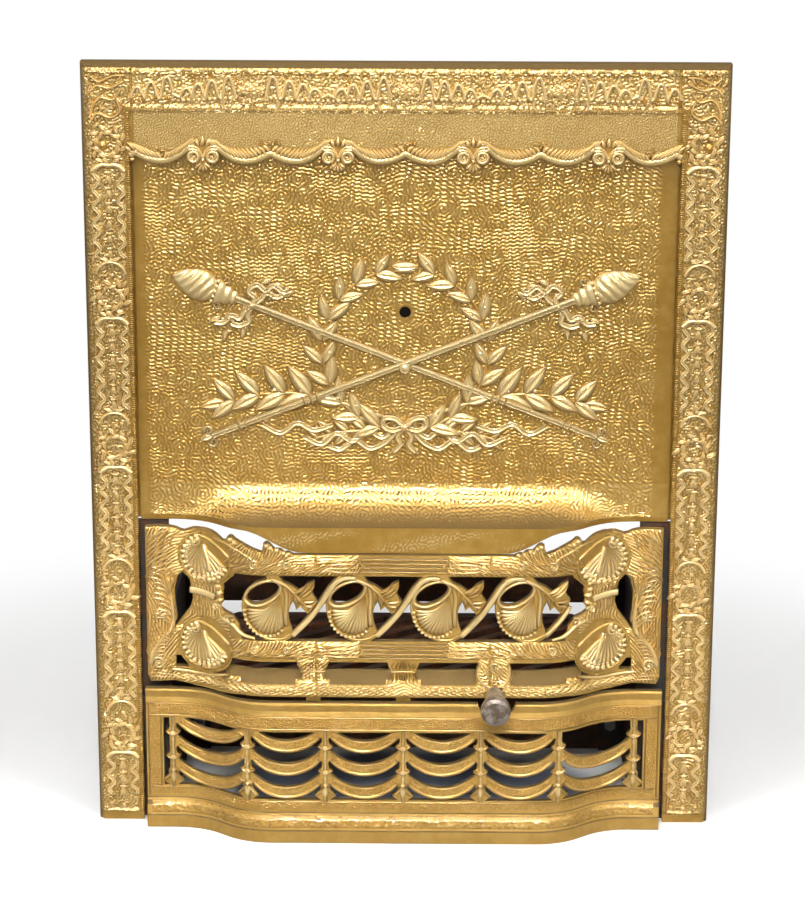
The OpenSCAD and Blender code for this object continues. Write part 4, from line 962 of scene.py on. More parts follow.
def headUnit(rng):     # from one flower cluster halfway to the next, drawn from the cluster's foot
    unit = Relief()
    unit.add(rosette(6.6, 6, 3.4), at=(0, 12), rise=0.6)
    for a, size in ((-62, 4.6), (62, 4.6), (-22, 4.2), (22, 4.2)):
        x, z = 10 * math.sin(math.radians(a)), 12 + 9 * math.cos(math.radians(a)) - 4
        unit.add(rosette(size, 5, 3.0), at=(x, z), rise=0.4)
    lumps(unit, rng, 0, 14, 17, 9, 40, (1.1, 2.0))
    lumps(unit, rng, 0, 2.5, 9, 3.5, 16, (1.1, 1.9))
    for s in (-1, 1):
        line = flutter(s, [(20.5, 25), (36, 21.5), (49, 18.5), (60, 14.5)], 6)
        unit.add(ribbon(np.vstack([line, [(s * 73, 9.5)]]), 1.7, 3.4, 0.45))
        for k in range(13):            # the berry garland
            x = 14 + k * 4.9
            unit.knob(2.3 + 0.5 * (k % 3 == 1), (s * x, 4.6 + 1.4 * math.cos(x / 23)), tall=1.1)
            unit.add(leaf(6.5, 3.0, 2.3), angle=s * (-58 - 16 * (k % 3)) + 180 * (k % 2), at=(s * (x - 1), 4.4))
        unit.add(ribbon(smoothLine([(s * 24, 4), (s * 25.5, -1), (s * 23.5, -5)]), 1.5, 2.6, 0.5))
        for dx, dz in ((0, -5.5), (-2.4, -6.5), (2.4, -4.6)):
            unit.add(leaf(4.6, 2.2, 2.3), angle=180 - dx * 8, at=(s * (23.5 + dx), dz + 2))
    return unit


def makeHead():
    h = headSet
    rng = np.random.default_rng(h["seed"])
    head = Relief()
    for k in (-1, 0, 1):
        head.addAll(headUnit(rng), at=(k * h["unit"], h["low"]), rise=h["rise"])
    for s in (-1, 1):
        corner = s * h["corner"]
        for line, wide in cornerRibbons:
            head.add(strip(smoothLine([(corner + s * x, z) for x, z in line], 7), wide,
                           lambda q, t: 3.0 * (0.55 + 0.45 * np.cos(3.1 * t)), 7))
        for x, z, a in cornerLeaves:
            head.add(leaf(10.5, 5.8, 3.0), angle=a * s, at=(corner + s * x, z))
        lumps(head, rng, corner, 731, 17, 19, 44, (1.2, 2.1))
        for k in (1, 2, 3):
            lumps(head, rng, s * k * 58, 748, 26, 3.0, 22, (1.1, 1.9))
        line = flutter(s, [(223, 748), (238, 743.5), (251, 739)], 729)
        head.add(ribbon(line, 1.7, 3.2, 0.45), rise=h["rise"])
        for k in range(9):
            head.knob(2.0, (s * (216 + 5.4 * k), 728 + 1.0 * math.sin(k * 1.7)), tall=1.1)
            head.add(leaf(6, 3, 2.2), angle=s * (60 + 160 * (k % 2)), at=(s * (216 + 5.4 * k), 727.5))
    for block in head.points:          # nothing crosses the fillet at the rim
        block[:, 1] = np.minimum(block[:, 1], h["top"])
    head.build("headRelief", onPlane(0), "bright")
    row = Relief()
    for k in range(-127, 128):
        row.add(smallBead, at=(k * h["beadPitch"], h["bead"]), tall=1.8)
    row.build("headBeads", onPlane(-1.6), "bright", smooth=60)
    for name, first, last, seed in (("headGroundLeft", -256.5, 1.6, 31), ("headGroundRight", -1.4, 256.5, 287)):
        us, vs = np.arange(first, last, h["step"]), np.arange(*h["ground"], h["step"])
        u, v = np.meshgrid(us, vs)
        fine = h["stipple"] * stipple(us, vs, h["stipplePitch"], seed)
        ground = np.where(v > 723, h["curl"] * flow(us, vs, h["curlPitch"], curls, seed, rounds=3), fine)
        cover(name, "outer_frame", us, vs, ground, onPlane(-1.5), "stippled", 5.0,
              lambda u, v: v > valanceEdge(u) + 4, soft=1, top=0.95)


makeJambs()
print("jambs")
makeHead()
print("head")

# ---- the valance: a plain lip with gadroons, and shells over volutes
def makeValance():
    v = valanceSet
    shells = [k * v["pitch"] for k in (-1.5, -0.5, 0.5, 1.5)]
    edge = Relief()
    rng = np.random.default_rng(v["seed"])
    spans = [-v["end"]] + shells + [v["end"]]
    for a, b in zip(spans, spans[1:]):
        low = a + (v["gap"] if a > -v["end"] else 0)
        high = b - (v["gap"] if b < v["end"] else 0)
        xs = np.linspace(low, high, 46)
        line = np.stack([xs, valanceEdge(xs) + 2.0], -1)
        edge.add(ribbon(line, v["lipHalf"], v["lipRise"], 0.25, 7))
        middle = (low + high) / 2
        for x in np.arange(low + 1, high - 0.5, v["strokePitch"]):
            z = float(valanceEdge(x))
            away = abs((x - low) / (high - low) * 2 - 1)          # 1 at the shells, 0 at the cusp
            side = -1 if x < middle else 1
            size = 0.75 + 0.45 * abs(math.sin(math.pi * away))
            rib = [(x, z + 4.0), (x + side * 2.4, z + 8), (x + side * 7.5 * size, z + 12.5 * size)]
            edge.blade(rib, 2.3, 3.0, 4, rise=0.9)
        lumps(edge, rng, middle, float(valanceEdge(middle)) + 9.5, 9, 2.6, 14, (1.1, 1.8))
    for s in (-1, 1):
        edge.add(dome(3.2, 2.4, 2.0, 3, 12), at=(s * 257.2, 671.0))
    edge.build("valanceEdge", onPlane(-3.0), "bright")
    shell = Relief()
    for s in (-1, 1):
        shell.add(rope(arcLine(s * 9.0, -0.6, 4.8, 0, 360, 22), 2.1, 1.6))
        shell.add(spiral(3.4, 1.3, 2.8, 1.3, math.pi / 2, -s), at=(s * 8.6, -0.6), rise=0.6)
        shell.knob(1.6, (s * 8.6, -0.6), rise=1.2, tall=1.4)
        for line in ([(0, -1), (s * 2.6, 5), (s * 7, 9), (s * 13, 9.5)],
                     [(s * 1, -2), (s * 3.5, 4), (s * 8, 6.6), (s * 13, 6)]):
            shell.add(ribbon(smoothLine(line), lambda q: 0.9 + 0.6 * q, 3.4, 0.5))
    for a in (-62, -42, -22, 0, 22, 42, 62):
        shell.add(leaf(9.5 - abs(a) * 0.03, 4.6, 3.4, 0.9), angle=-a, at=(a * 0.16, 9.5 - abs(a) * 0.02))
    shell.add(fan(8.2, 5, 205, 335, 5.4, 1.15), at=(0, -4.6))
    shell.knob(2.2, (0, -3.4), rise=1.5, tall=1.1)
    row = Relief()
    for x in shells:
        row.addAll(shell, at=(x, v["shellHeight"]))
    row.build("valanceShells", onPlane(-3.0), "bright")


makeValance()
print("valance")

# ---- the cover's trophy: crossed torches, a wreath open at the top, sprays and ribbons
trophySet = {"wreathMiddle": (0, 485), "wreathRadius": 80.0, "wreathLeaf": 29.0, "wreathPairs": 10, "sprayLeaf": 37,
             "torch": 357.0, "flame": 42.0, "tail": (194.0, 396.0), "head": (202.0, 550.5), "knotAlong": 0.86,
             "crossing": (0, 468), "bow": (0, 409)}
knotRibbons = ([(0, 0), (3, 7), (-3, 14), (5, 20), (13, 14), (21, 19), (29, 13), (36, 14)],
               [(0, 0), (9, 6), (14, 12), (23, 8), (30, 10)],
               [(0, 0), (-7, -5), (-12, -13), (-20, -10), (-27, -17), (-36, -17)],
               [(0, 0), (-4, -9), (-3, -16), (-12, -20), (-20, -18)])
knotLeaves = ((8, 21, 70), (20, 21, 110), (30, 8, 60), (16, 4, 20), (-16, -16, -60), (-30, -12, -110),
              (-24, -24, -160), (-8, -21, 190))
loose = ([(6, 410), (22, 398), (36, 406), (50, 394), (66, 402), (80, 391), (98, 398)],
         [(8, 404), (20, 392), (34, 387), (48, 395), (62, 386), (74, 389)],
         [(70, 410), (88, 405), (104, 412), (120, 402), (138, 410)])


def torch():           # drawn along +z from its tail at the origin; its head is about 420 mm away
    t = Relief()
    length = trophySet["torch"]
    groove = lambda s, q: 4.6 * np.sqrt(np.maximum(1 - q * q, 0)) * (1 - 0.28 * np.exp(-((q - 0.15) / 0.14) ** 2))
    t.add(strip([(0, 8), (0, length / 2), (0, length - 4)], lambda s: 3.4 + 0.7 * s, groove, 9))
    for z, r in ((34, 5.4), (40, 4.6), (96, 5.2), (102, 6.2), (108, 5.2)):
        lift = lambda s, q: (r + 0.4) * (0.55 + 0.45 * np.sin(math.pi * s)) * np.sqrt(np.maximum(1 - q * q, 0))
        t.add(strip([(0, z - 1.6), (0, z - 0.8), (0, z), (0, z + 0.8), (0, z + 1.6)],
                    lambda s: r * (0.7 + 0.3 * np.sin(math.pi * s)), lift, 9))
    for s in (-1, 1):
        t.add(spiral(4.6, 1.3, 3.4, 1.5, -math.pi / 2, s), at=(s * 5.4, 6))
    t.add(leaf(12, 8, 4.4, 0.7), angle=180, at=(0, 8))
    z0 = length - 8
    heights, radii = zip((0, 4.2), (3, 7.5), (6, 6.2), (9, 9.8), (13, 8.6), (16, 11.5), (20, 12.2))
    zs = np.linspace(0, 20, 31)
    rs = np.interp(zs, heights, radii)
    cup = lambda q: np.interp(q * 20, zs, rs)
    t.add(strip(np.stack([0 * zs, z0 + zs], -1), cup,
                lambda q, w: cup(q) * 0.62 * np.sqrt(np.maximum(1 - w * w, 0)), 13))
    for k in range(-2, 3):
        t.knob(2.5, (k * 4.7, z0 + 21), rise=3.5 - abs(k), tall=1.3)
    for s in (-1, 1):
        t.add(spiral(4.2, 1.2, 3.2, 1.5, math.pi / 2, s), at=(s * 13, z0 + 15))
    zs = np.linspace(0, 1, 44)
    outline = lambda q: 14.8 * np.maximum(np.sin(math.pi * np.clip(q * 0.93 + 0.07, 0, 1) ** 0.72), 0.03) ** 0.8
    flame = lambda q, w: outline(q) * 0.60 * np.sqrt(np.maximum(1 - w * w, 0)) * (
        0.72 + 0.28 * np.abs(np.cos(math.pi * (q * 5.6 - w * 0.9))) ** 0.8)
    t.add(strip(np.stack([0 * zs, z0 + 21 + zs * trophySet["flame"]], -1), outline, flame, 17))
    return t


def bowKnot():         # a knotted ribbon: two loops and two tails
    b = Relief()
    for s in (-1, 1):
        loop = [(0, 0), (s * 7, 6), (s * 14, 6.5), (s * 15.5, 1), (s * 9, -2.5), (0, 0)]
        b.add(band(smoothLine(loop, 5), 2.1, 3.4, 0.55))
        b.add(band(smoothLine([(0, 0), (s * 5, -7), (s * 3, -13), (s * 8, -19)], 5), 1.9, 2.8, 0.55))
    b.knob(3.3, (0, 0), tall=1.4)
    return b


def makeTrophy():
    tr = trophySet
    torches = Relief()
    shaft = torch()
    for s in (-1, 1):
        tail, head = np.array(tr["tail"]) * (s, 1), np.array(tr["head"]) * (-s, 1)
        way = head - tail
        angle = math.degrees(math.atan2(way[1], way[0])) - 90
        size = np.linalg.norm(way) / (tr["torch"] + 33)
        torches.addAll(shaft, angle=angle, scale=size, at=tuple(tail), rise=0.0 if s > 0 else 1.6, flip=s < 0)
        knot = Relief()
        x, z = tail + way * tr["knotAlong"]
        knot.knob(3.4, (x, z), rise=2.6, tall=1.2)
        for line in knotRibbons:
            knot.add(band(smoothLine([(x + s * a, z + b) for a, b in line]), 2.8, 4.2, 0.5), rise=0.8)
        for a, b, turn in knotLeaves:
            knot.add(leaf(13, 7.5, 4.2), angle=-s * turn, at=(x + s * a, z + b), rise=0.6)
            knot.knob(2.2, (x + s * (a + 2), z + b - 2), rise=0.8)
        torches.addAll(knot)
    torches.knob(5.6, tr["crossing"], rise=3.6, tall=0.7)
    torches.add(rope(arcLine(*tr["crossing"], 4.6, 0, 360, 24), 1.0, 1.2), rise=5.2)
    torches.build("crossedTorches", onPlane(coverSet["front"]), "laurel", "cover", smooth=45)

    wreath = Relief()
    cx, cz = tr["wreathMiddle"]
    single = leaf(tr["wreathLeaf"], 13.5, 4.4, 0.42)

    def onRing(s, a, out=0.0):     # from the wreath's foot up either side
        return cx + s * math.sin(a) * (tr["wreathRadius"] + out), cz - math.cos(a) * (tr["wreathRadius"] + out)

    def tangent(s, a):
        return math.degrees(math.atan2(math.sin(a), s * math.cos(a))) - 90

    for s in (-1, 1):
        stem = [onRing(s, a) for a in np.linspace(0.12, 2.93, 40)]
        wreath.add(rope(stem, 2.0, 1.0, taper=lambda q: 1.15 - 0.6 * q))
        for k in range(tr["wreathPairs"]):
            a = 0.30 + k * 0.275
            at, along = onRing(s, a), tangent(s, a)
            for side, lean in ((1, 38 - 4 * (k % 2)), (-1, 30 + 7 * (k % 3 == 1))):
                size = 0.98 - 0.015 * k + (0.12 if (k + (side > 0)) % 3 == 0 else 0)
                wreath.add(single, angle=along + side * lean, scale=size, at=at, rise=0.7)
            if k % 3 != 2:
                for side in (-1, 1):
                    wreath.knob(2.8, onRing(s, a + 0.13, side * 7.5), rise=0.8)
        a = 0.30 + tr["wreathPairs"] * 0.27
        wreath.add(single, angle=tangent(s, a), at=onRing(s, a), scale=0.9, rise=0.5)
    wreath.build("laurelWreath", onPlane(coverSet["front"]), "laurel", "cover", smooth=45)

    spray = Relief()
    big = leaf(tr["sprayLeaf"], 17.5, 4.8, 0.4)
    pointOn = lambda line, q: tuple(line[int(q * (len(line) - 1))])
    for s in (-1, 1):
        stem = smoothLine([(s * 22, 419), (s * 60, 432), (s * 100, 441), (s * 140, 440), (s * 172, 432)], 8)
        spray.add(rope(stem, 2.1, 1.1, taper=lambda q: 1.2 - 0.6 * q))
        for k, q in enumerate(np.linspace(0.44, 0.94, 4)):
            for side in (-1, 1):
                spray.add(big, angle=-s * (82 - side * (36 + 6 * (k % 2)) + (k - 2) * 4), at=pointOn(stem, q),
                          scale=1.0 - 0.06 * k, rise=0.6)
        spray.add(big, angle=-s * 100, at=tuple(stem[-1]), scale=0.75)
        for q in (0.3, 0.5, 0.68):
            x, z = pointOn(stem, q)
            spray.knob(2.6, (x, z + 4), rise=1.5)
        lower = smoothLine([(s * 14, 412), (s * 40, 405), (s * 66, 402), (s * 88, 396)], 8)
        spray.add(rope(lower, 1.9, 1.1))
        for k, q in enumerate(np.linspace(0.3, 0.95, 4)):
            for side in (-1, 1):
                spray.add(big, angle=-s * (92 - side * 40), at=pointOn(lower, q), scale=0.64 - 0.04 * k, rise=0.4)
        for wave in loose:
            spray.add(band(smoothLine([(s * x, z) for x, z in wave]), 2.6, 3.2, 0.55), rise=0.8)
    spray.addAll(bowKnot(), at=tr["bow"], scale=1.35, rise=1.6)
    spray.build("laurelSprays", onPlane(coverSet["front"]), "laurel", "cover", smooth=45)


makeTrophy()
print("trophy")

# ---- the basket front: shell discs, running scrolls, end leaves and leafy rails
basketSet = {"discs": ((193.0, 284.0), (194.0, 195.0)), "discClear": 26.5, "scrollPitch": 81.6, "scrollShift": -7.0,
             "scrollMiddle": 241.8, "postPitch": 88.0, "postMiddle": 177.5, "postClear": 17, "low": 150.6,
             "high": 315.0, "ridgePitch": 2.95, "ridgeProud": 1.5, "step": 0.82}
scrollBlades = (((43, 26.5), (27, 13)), ((41.5, 20), (30, 11)), ((45, 8.5), (32, 7)), ((42.5, 3.2), (34, 3.5)),
                ((26, 1.5), (24, 14)), ((36, 23.5), (24, 16)))
scrollHairs = (((20, 3), (22.5, 17)), ((23.5, 6), (24, 16)), ((28.5, 4), (26.5, 13)), ((32, 3), (29, 10)))
railBeads = ((-132, 305.5, 2.6), (-128.5, 303.5, 2.4), (-122, 301, 2.6), (-115.5, 298.5, 2.4), (-110, 297.5, 2.0),
             (-167, 308, 2.6), (-163, 306, 2.2))


def shellDisc():       # the left one, drawn from its middle
    d = Relief()
    hub = np.array([-4.5, 12.0])
    d.add(rope(arcLine(0, 0, 25.6, 95, 372, 60), 1.5, 1.15))
    d.add(rope(smoothLine([(-11, 23), (-3, 21), (6, 17.5), (15, 12), (24, 5)]), 1.7, 1.1))
    for k in range(17):
        a = math.radians(112 + k * 14.2)
        end = np.array([21.6 * math.cos(a), 21.6 * math.sin(a)])
        middle = hub * 0.45 + end * 0.55 + np.array([-2.2, 1.0]) * (1 - k / 16)
        d.add(flute(smoothLine([hub, middle, end]), 0.7, 2.9, 3.6))
        d.add(dome(2.9, 2.2, 2.4, 3, 10), angle=math.degrees(a), at=tuple(end * 1.02), rise=1.9)
        d.knob(1.3, tuple(end * 0.86), rise=3.0, tall=0.9)
    d.add(flute(smoothLine([(-1.5, 13), (1.5, 4), (4.5, -6), (6, -15)]), 2.2, 3.8, 5.0), rise=0.4)
    d.add(spiral(5.2, 1.7, 3.4, 1.5, math.pi * 0.6, -1), at=(-9.5, 15.0), rise=1.2)
    d.knob(1.7, (-9.5, 15.0), rise=2.5, tall=1.2)
    return d


def scrollRelief(last):    # one running scroll, drawn from its middle
    r = Relief()
    eye = np.array([-6.5, 15.4])
    turn = math.radians(28)
    oval = []
    for a in np.linspace(0, 2 * math.pi, 40):
        p, q = 18.9 * math.cos(a), 10.6 * math.sin(a)
        oval.append(eye + (p * math.cos(turn) - q * math.sin(turn), p * math.sin(turn) + q * math.cos(turn)))
    r.add(rope(oval, 1.8, 1.25))
    rim = smoothLine([(-14, 24.2), (-21.5, 15.5), (-25.6, 6), (-25.3, -4.5), (-21.4, -14.6), (-13, -24.6), (-5, -29.2),
                      (4.6, -31.2), (14, -30), (23, -24.2)], 5)
    r.add(rope(rim, 1.35, 1.3))
    hub = np.array([10.5, 13.0])
    for k in range(13):
        a = math.radians(176 + k * 11.2)
        end = np.array([-1.5 + 20.5 * math.cos(a), -3.5 + 22.5 * math.sin(a)])
        sag = np.array([1.5, -6.5]) * max(1 - k / 6, 0)
        r.add(flute(smoothLine([hub, hub * 0.5 + end * 0.5 + sag, end], 5), 0.6, 2.5, 3.2))
        r.add(dome(2.1, 1.8, 2.2, 3, 8), angle=math.degrees(a), at=tuple(end + 0.06 * (end - hub)), rise=0.8)
    r.add(flute(smoothLine([(13, 24), (16.5, 12), (15.5, -4), (16, -18)]), 2.6, 2.2, 3.4))
    back = smoothLine([(2, 29.6), (13, 25), (22, 17.5), (30, 8), (37.5, -1.5)])
    r.add(rope(back, 1.8, 1.3, taper=lambda q: 1.15 - 0.5 * q))
    for tip, root in scrollBlades:
        mid = (np.array(tip) + np.array(root)) / 2 + (0.6, -1.0)
        r.blade([root, mid, tip], 2.1, 2.8, 4)
    for tip, root in scrollHairs:
        r.blade([root, (np.array(tip) + root) / 2 + (0.4, 0), tip], 1.6, 2.4, 4)
    if not last:
        climb = smoothLine([(22, -27), (33, -16), (43.3, -4), (51, 8), (57.5, 18), (64.5, 27), (73, 31.6), (83, 31.2)])
        r.add(strip(climb, lambda q: 2.9 - 0.5 * q, lambda q, t: 3.0 * (1 - 0.55 * np.abs(t) ** 2.2)
                    + 0.5 * (np.abs(np.abs(t) - 0.8) < 0.14), 9))
    else:
        r.add(rope(smoothLine([(22, -27), (33, -16), (42, -4.5), (45, 2)]), 2.4, 1.1))
    return r


def endLeaf():         # the left end's three leaves, one over another, in the face's own places
    e = Relief()
    for k in range(9):     # the top palm
        z0 = 259 + 4.8 * k
        tip = (-224 - 0.4 * k, min(z0 + 12 + 0.6 * k, 309))
        e.blade([(-250.5, z0 - 3), (-245, z0 + 4), (-236, z0 + 9.5), tip], 2.3, 3.0)
    for k in range(4):
        e.blade([(-249 + 7 * k, 292), (-247 + 7 * k, 301), (-243 + 7 * k, 310 - 0.8 * k)], 2.1, 2.6)
    spine = smoothLine([(-229, 204), (-226.2, 214), (-226.4, 230), (-228.5, 246), (-233, 262)])
    e.add(rope(spine, 2.0, 1.4, taper=lambda q: 1.3 - 0.7 * q))
    for k in range(11):    # the second leaf's lobes
        x0, z0 = spine[4 + 2 * k]
        reach = 20 + 3.0 * math.sin(k * 1.7)
        tip = (x0 - reach, z0 + 6 - 3 * (k % 2))
        e.blade([(x0, z0), (x0 - reach * 0.4, z0 + 7), (x0 - reach * 0.8, z0 + 9), tip], 2.2, 2.9)
    for k, x in enumerate((-246, -240, -234, -228, -222)):
        e.blade([(-229.5, 243), ((x - 229) / 2, 256), (x, 268 + 2 * (k % 2))], 1.9, 2.9)
    e.add(spiral(4.6, 1.5, 3.6, 1.6, 0.4, 1), at=(-235.5, 222.5), rise=1)
    e.knob(2.0, (-235.5, 222.5), rise=2.4)
    low = smoothLine([(-249, 170), (-247, 182), (-241, 193), (-234, 202)])
    e.add(rope(low, 2.0, 1.4, taper=lambda q: 1.3 - 0.6 * q))
    for k in range(8):     # the third leaf
        x0, z0 = low[3 + 2 * k]
        e.blade([(x0, z0), (x0 - 3, z0 + 7), (-251 + 0.6 * k, z0 + 13 + k)], 1.8, 2.7)
        e.blade([(x0, z0), (x0 + 7, z0 + 4), (min(x0 + 15, -225.5), z0 + 4 - 3 * (k % 2))], 2.1, 2.8)
    e.add(spiral(6.2, 1.7, 3.8, 1.9, math.pi * 0.9, -1), at=(-241, 172), rise=0.8)
    e.knob(2.1, (-241, 172), rise=2.4)
    for k in range(5):
        e.blade([(-234, 163 + 3.2 * k), (-230, 166 + 3.0 * k), (-225.5, 169 + 2.6 * k)], 1.5, 2.2)
    for k in range(3):
        e.blade([(-250.5, 163.5 - 3.4 * k), (-240, 164.5 - 3.4 * k), (-226, 161 - 2.2 * k)], 1.7, 2.4)
    return e


def columnRelief():    # the short column between the discs, with its plain bar and berries
    c = Relief()
    c.add(strip(smoothLine([(-208, 249.5), (-200, 249), (-188, 247), (-181.5, 245.5)]), 3.3,
                lambda s, t: 4.6 * (1 - 0.3 * np.abs(t) ** 3), 7))
    for k in range(7):
        x = -205 + k * 4.1
        c.blade([(x, 261), (x - 0.48 * (k - 3), 257), (x - 0.3 * (k - 3), 252.5)], 1.9, 2.8)
        c.knob(2.2, (x + 1, 262.5 + (k % 2) * 2.5), rise=0.8, tall=1.1)
    for k in range(6):
        x = -203 + k * 4.2
        c.blade([(x, 244), (x + 0.6, 237), (x - 1.4, 229 - (k % 2) * 2)], 2.0, 2.6)
    for x, z, size in ((-178.5, 251, 3.0), (-180, 257, 2.8), (-177.6, 244, 2.6), (-184, 263, 2.6), (-182, 238, 2.6)):
        c.knob(size, (x, z), rise=0.6, tall=1.2)
    c.add(spiral(4.2, 1.3, 3.4, 1.6, 0.2, 1), at=(-181.5, 235.5), rise=0.8)
    c.add(spiral(4.4, 1.3, 3.2, 1.6, 0.9, 1), at=(-167, 226.5), rise=0.6)
    tail = smoothLine([(-176, 226), (-166, 222), (-156, 213.5), (-144, 210.5)])
    c.add(rope(tail, 2.2, 1.2, taper=lambda q: 1.2 - 0.4 * q))
    return c


def railLeaves():      # the left half of both rails, the crest and the bottom rail
    r = Relief()
    for z0, z1, shift in ((276.5, 294, 0.0), (190, 207.5, 2.0)):
        for k in range(25):
            x = -166 + k * 4.6 + shift
            up = 0.5 + 0.5 * math.sin(k * 2.4)
            root = (x - 5, z0 + 1.2 + 3.5 * up)
            tip = (x + 9 + 3 * up, z1 - 2.5 - 4.5 * (1 - up))
            r.blade([root, ((root[0] + tip[0]) / 2 + 1.2, (root[1] + tip[1]) / 2 - 1.6), tip], 2.0, 2.3, 4)
        for k in range(16):
            x = -160 + k * 7.0 + shift
            r.blade([(x, z0 + 1), (x + 5, z0 + 2.8), (x + 10, z0 + 1.4)], 1.5, 2.1, 4)
        for x, size in ((-144, 4.6), (-113, 3.6)):
            r.add(dome(size + 1.6, size + 1.6, 2.2, 3, 14), at=(x, (z0 + z1) / 2))
            r.add(spiral(size, 1.4, 3.4, 1.4, 1.0, 1), at=(x, (z0 + z1) / 2), rise=1)
            r.knob(1.7, (x, (z0 + z1) / 2), rise=2.2)
        for k in range(4):         # the smooth leaf that the reeds grow from
            z = z0 + 3 + 4.0 * k
            r.blade([(-76, z0 + 5 + 2.2 * k), (-62, z - 0.5), (-41.5, z)], 2.2, 2.4)
        cuff = [(-44.5, z1 - 1), (-41, z1 - 7), (-38, (z0 + z1) / 2), (-41, z0 + 7), (-44.5, z0 + 1)]
        r.add(rope(smoothLine(cuff), 0.9, 1.8))
    for x, z, size in railBeads:
        r.knob(size, (x, z), rise=0.6, tall=1.3)
    for k in range(11):            # leafage between the upper disc and the crest
        x = -168 + k * 5.2
        top = np.interp(-x, (106, 125, 145, 156, 168), (295, 301, 299, 304, 306))
        r.blade([(x - 6, 283 + 0.5 * k), (x, 289), (x + 7, top - 0.5)], 2.0, 2.5, 4)
    r.add(rope(smoothLine([(-184, 305), (-172, 303), (-160, 298), (-150, 293), (-146, 290)]), 1.6, 1.2))
    for k in range(27):            # the bottom rail
        x = -222 + k * 8.0
        r.blade([(x - 6, 160.5), (x, 157.5), (x + 8, 153.5)], 2.0, 2.4, 4)
        r.blade([(x - 3, 163), (x + 3, 161.5), (x + 8, 158.5)], 1.4, 1.8, 4)
    r.add(rope(smoothLine([(-228, 165.5), (-214, 164.5), (-200, 163), (-186, 164), (-170, 169)]), 1.8, 1.4))
    return r


def postRelief(boss):      # zigzag leaves on a post, or a round shell over the rod's arch
    r = Relief()
    if boss:
        r.add(rope(arcLine(0, 0, 15.8, 150, 390, 40), 1.7, 1.3))
        for k in range(11):
            a = math.radians(160 + k * 22)
            r.add(flute([(3 * math.cos(a), 4 + 3 * math.sin(a)), (8 * math.cos(a), 2 + 8 * math.sin(a)),
                         (13 * math.cos(a), 13 * math.sin(a))], 0.6, 2.2, 2.8))
        r.add(spiral(4.0, 1.4, 3.4, 1.4, 0.5, 1), at=(0, 6), rise=1)
        return r
    for s in (-1, 1):
        for k in range(3):
            r.add(stroke([(s * (1 + 4 * k), 10.5 - k), (s * (2.8 + 4 * k), 5.5), (s * (3.6 + 3 * k), 1.5)], 1.6, 2.3))
            r.add(stroke([(s * (3.6 + 3 * k), -1.5), (s * (2.8 + 4 * k), -6), (s * (1.5 + 4.3 * k), -11)], 1.6, 2.3))
    r.add(rope([(-11.5, 0), (0, 0.4), (11.5, 0)], 1.1, 1.4))
    r.add(stroke([(0, 10.5), (0, 5), (0, 1)], 1.6, 2.6))
    r.add(stroke([(0, -1), (0, -6), (0, -11)], 1.6, 2.6))
    return r


def leafWay(u, v):     # how the small leaf strokes of the basket run
    side = np.sign(u + 1e-6)
    x = np.abs(u)
    lower = np.where(v > 205, 108 + (v - 232) * 0.9, 62 + (x - 238) * 1.5)
    ends = np.radians(np.where(v > 262, 24 + (x - 222) * 1.6, lower))
    rails = np.radians(34 + 16 * np.sin(x / 17.0) + 22 * np.sin(v / 5.0 + x / 29.0))
    column = np.radians(88 + 20 * np.sin(v / 4.0))
    low = np.radians(-24 + 9 * np.sin(x / 15.0))
    way = np.where(x > 222, ends, np.where(v < 166, -low, np.where((x > 176) & (v < 262) & (v > 224), column, rails)))
    return np.where(side < 0, way, math.pi - way)


def leafPlace(u, v):   # where the basket is leafy: not on its shells, reeds, sill, scrolls and bands
    x, b = np.abs(u), basketSet
    discs = np.any([np.hypot(x - across, v - up) < b["discClear"] for across, up in b["discs"]], axis=0)
    scrolls = (x < 168) & (v > 209) & (v < 275)
    reeds = (x < 42) & (v > 170)
    fromPost = np.abs((x + b["postPitch"] / 2) % b["postPitch"] - b["postPitch"] / 2)
    sill = (x < 222) & (v > 163.5) & (v < 190) & (fromPost > b["postClear"])
    return ~(discs | scrolls | reeds | sill)


def makeBasket():
    b = basketSet
    surface = onBow()
    for name, first, last, seed in (("basketGroundLeft", -252.5, -84.0, 4), ("basketGroundMiddle", -84.7, 84.7, 5),
                                    ("basketGroundRight", 84.0, 252.5, 4)):
        us, vs = np.arange(first, last, b["step"]), np.arange(b["low"], b["high"], b["step"])
        ridges = b["ridgeProud"] * flow(us, vs, b["ridgePitch"], leafWay, seed) ** 1.1
        cover(name, "basket_front", us, vs, ridges, surface, "creamy", where=leafPlace)
    left, scrolls, rails = Relief(), Relief(), Relief()
    disc = shellDisc()
    for flip in (False, True):
        side = 1 if flip else -1
        for x, z in b["discs"]:
            left.addAll(disc, at=(side * x, z), flip=flip)
        for part in (endLeaf(), columnRelief()):
            left.addAll(part, flip=flip)
        rails.addAll(railLeaves(), flip=flip)
    for i in range(4):
        scrolls.addAll(scrollRelief(i == 3), at=(b["scrollShift"] + (i - 1.5) * b["scrollPitch"], b["scrollMiddle"]))
    for i in (-1, 0, 1):
        rails.addAll(postRelief(i == 1), at=(i * b["postPitch"], b["postMiddle"]))
    left.build("basketShells", surface, "creamy")
    scrolls.build("basketScrolls", surface, "creamy")
    rails.build("basketLeafage", surface, "creamy")


makeBasket()
print("basket")

# ---- the ash front: stippled swags with plain rims, thorny stems and a stippled border
ashSet = {"half": 251.0, "low": 43.0, "high": 114.0, "pitch": 24.23, "bay": 76.17, "notch": (91.0, 149.0),
          "notchClear": 21, "swagDots": 120, "borderDots": 3400, "sideDots": 240, "seed": 11, "bandSeed": 3,
          "band": (15.5, 27.5), "bandStep": (1.1, 0.95)}
ashFoot = onBow(lambda v: np.interp(v, [13.5, 23, 27, 29, 30], [6.5, 4.5, 1.5, 1, 0]))


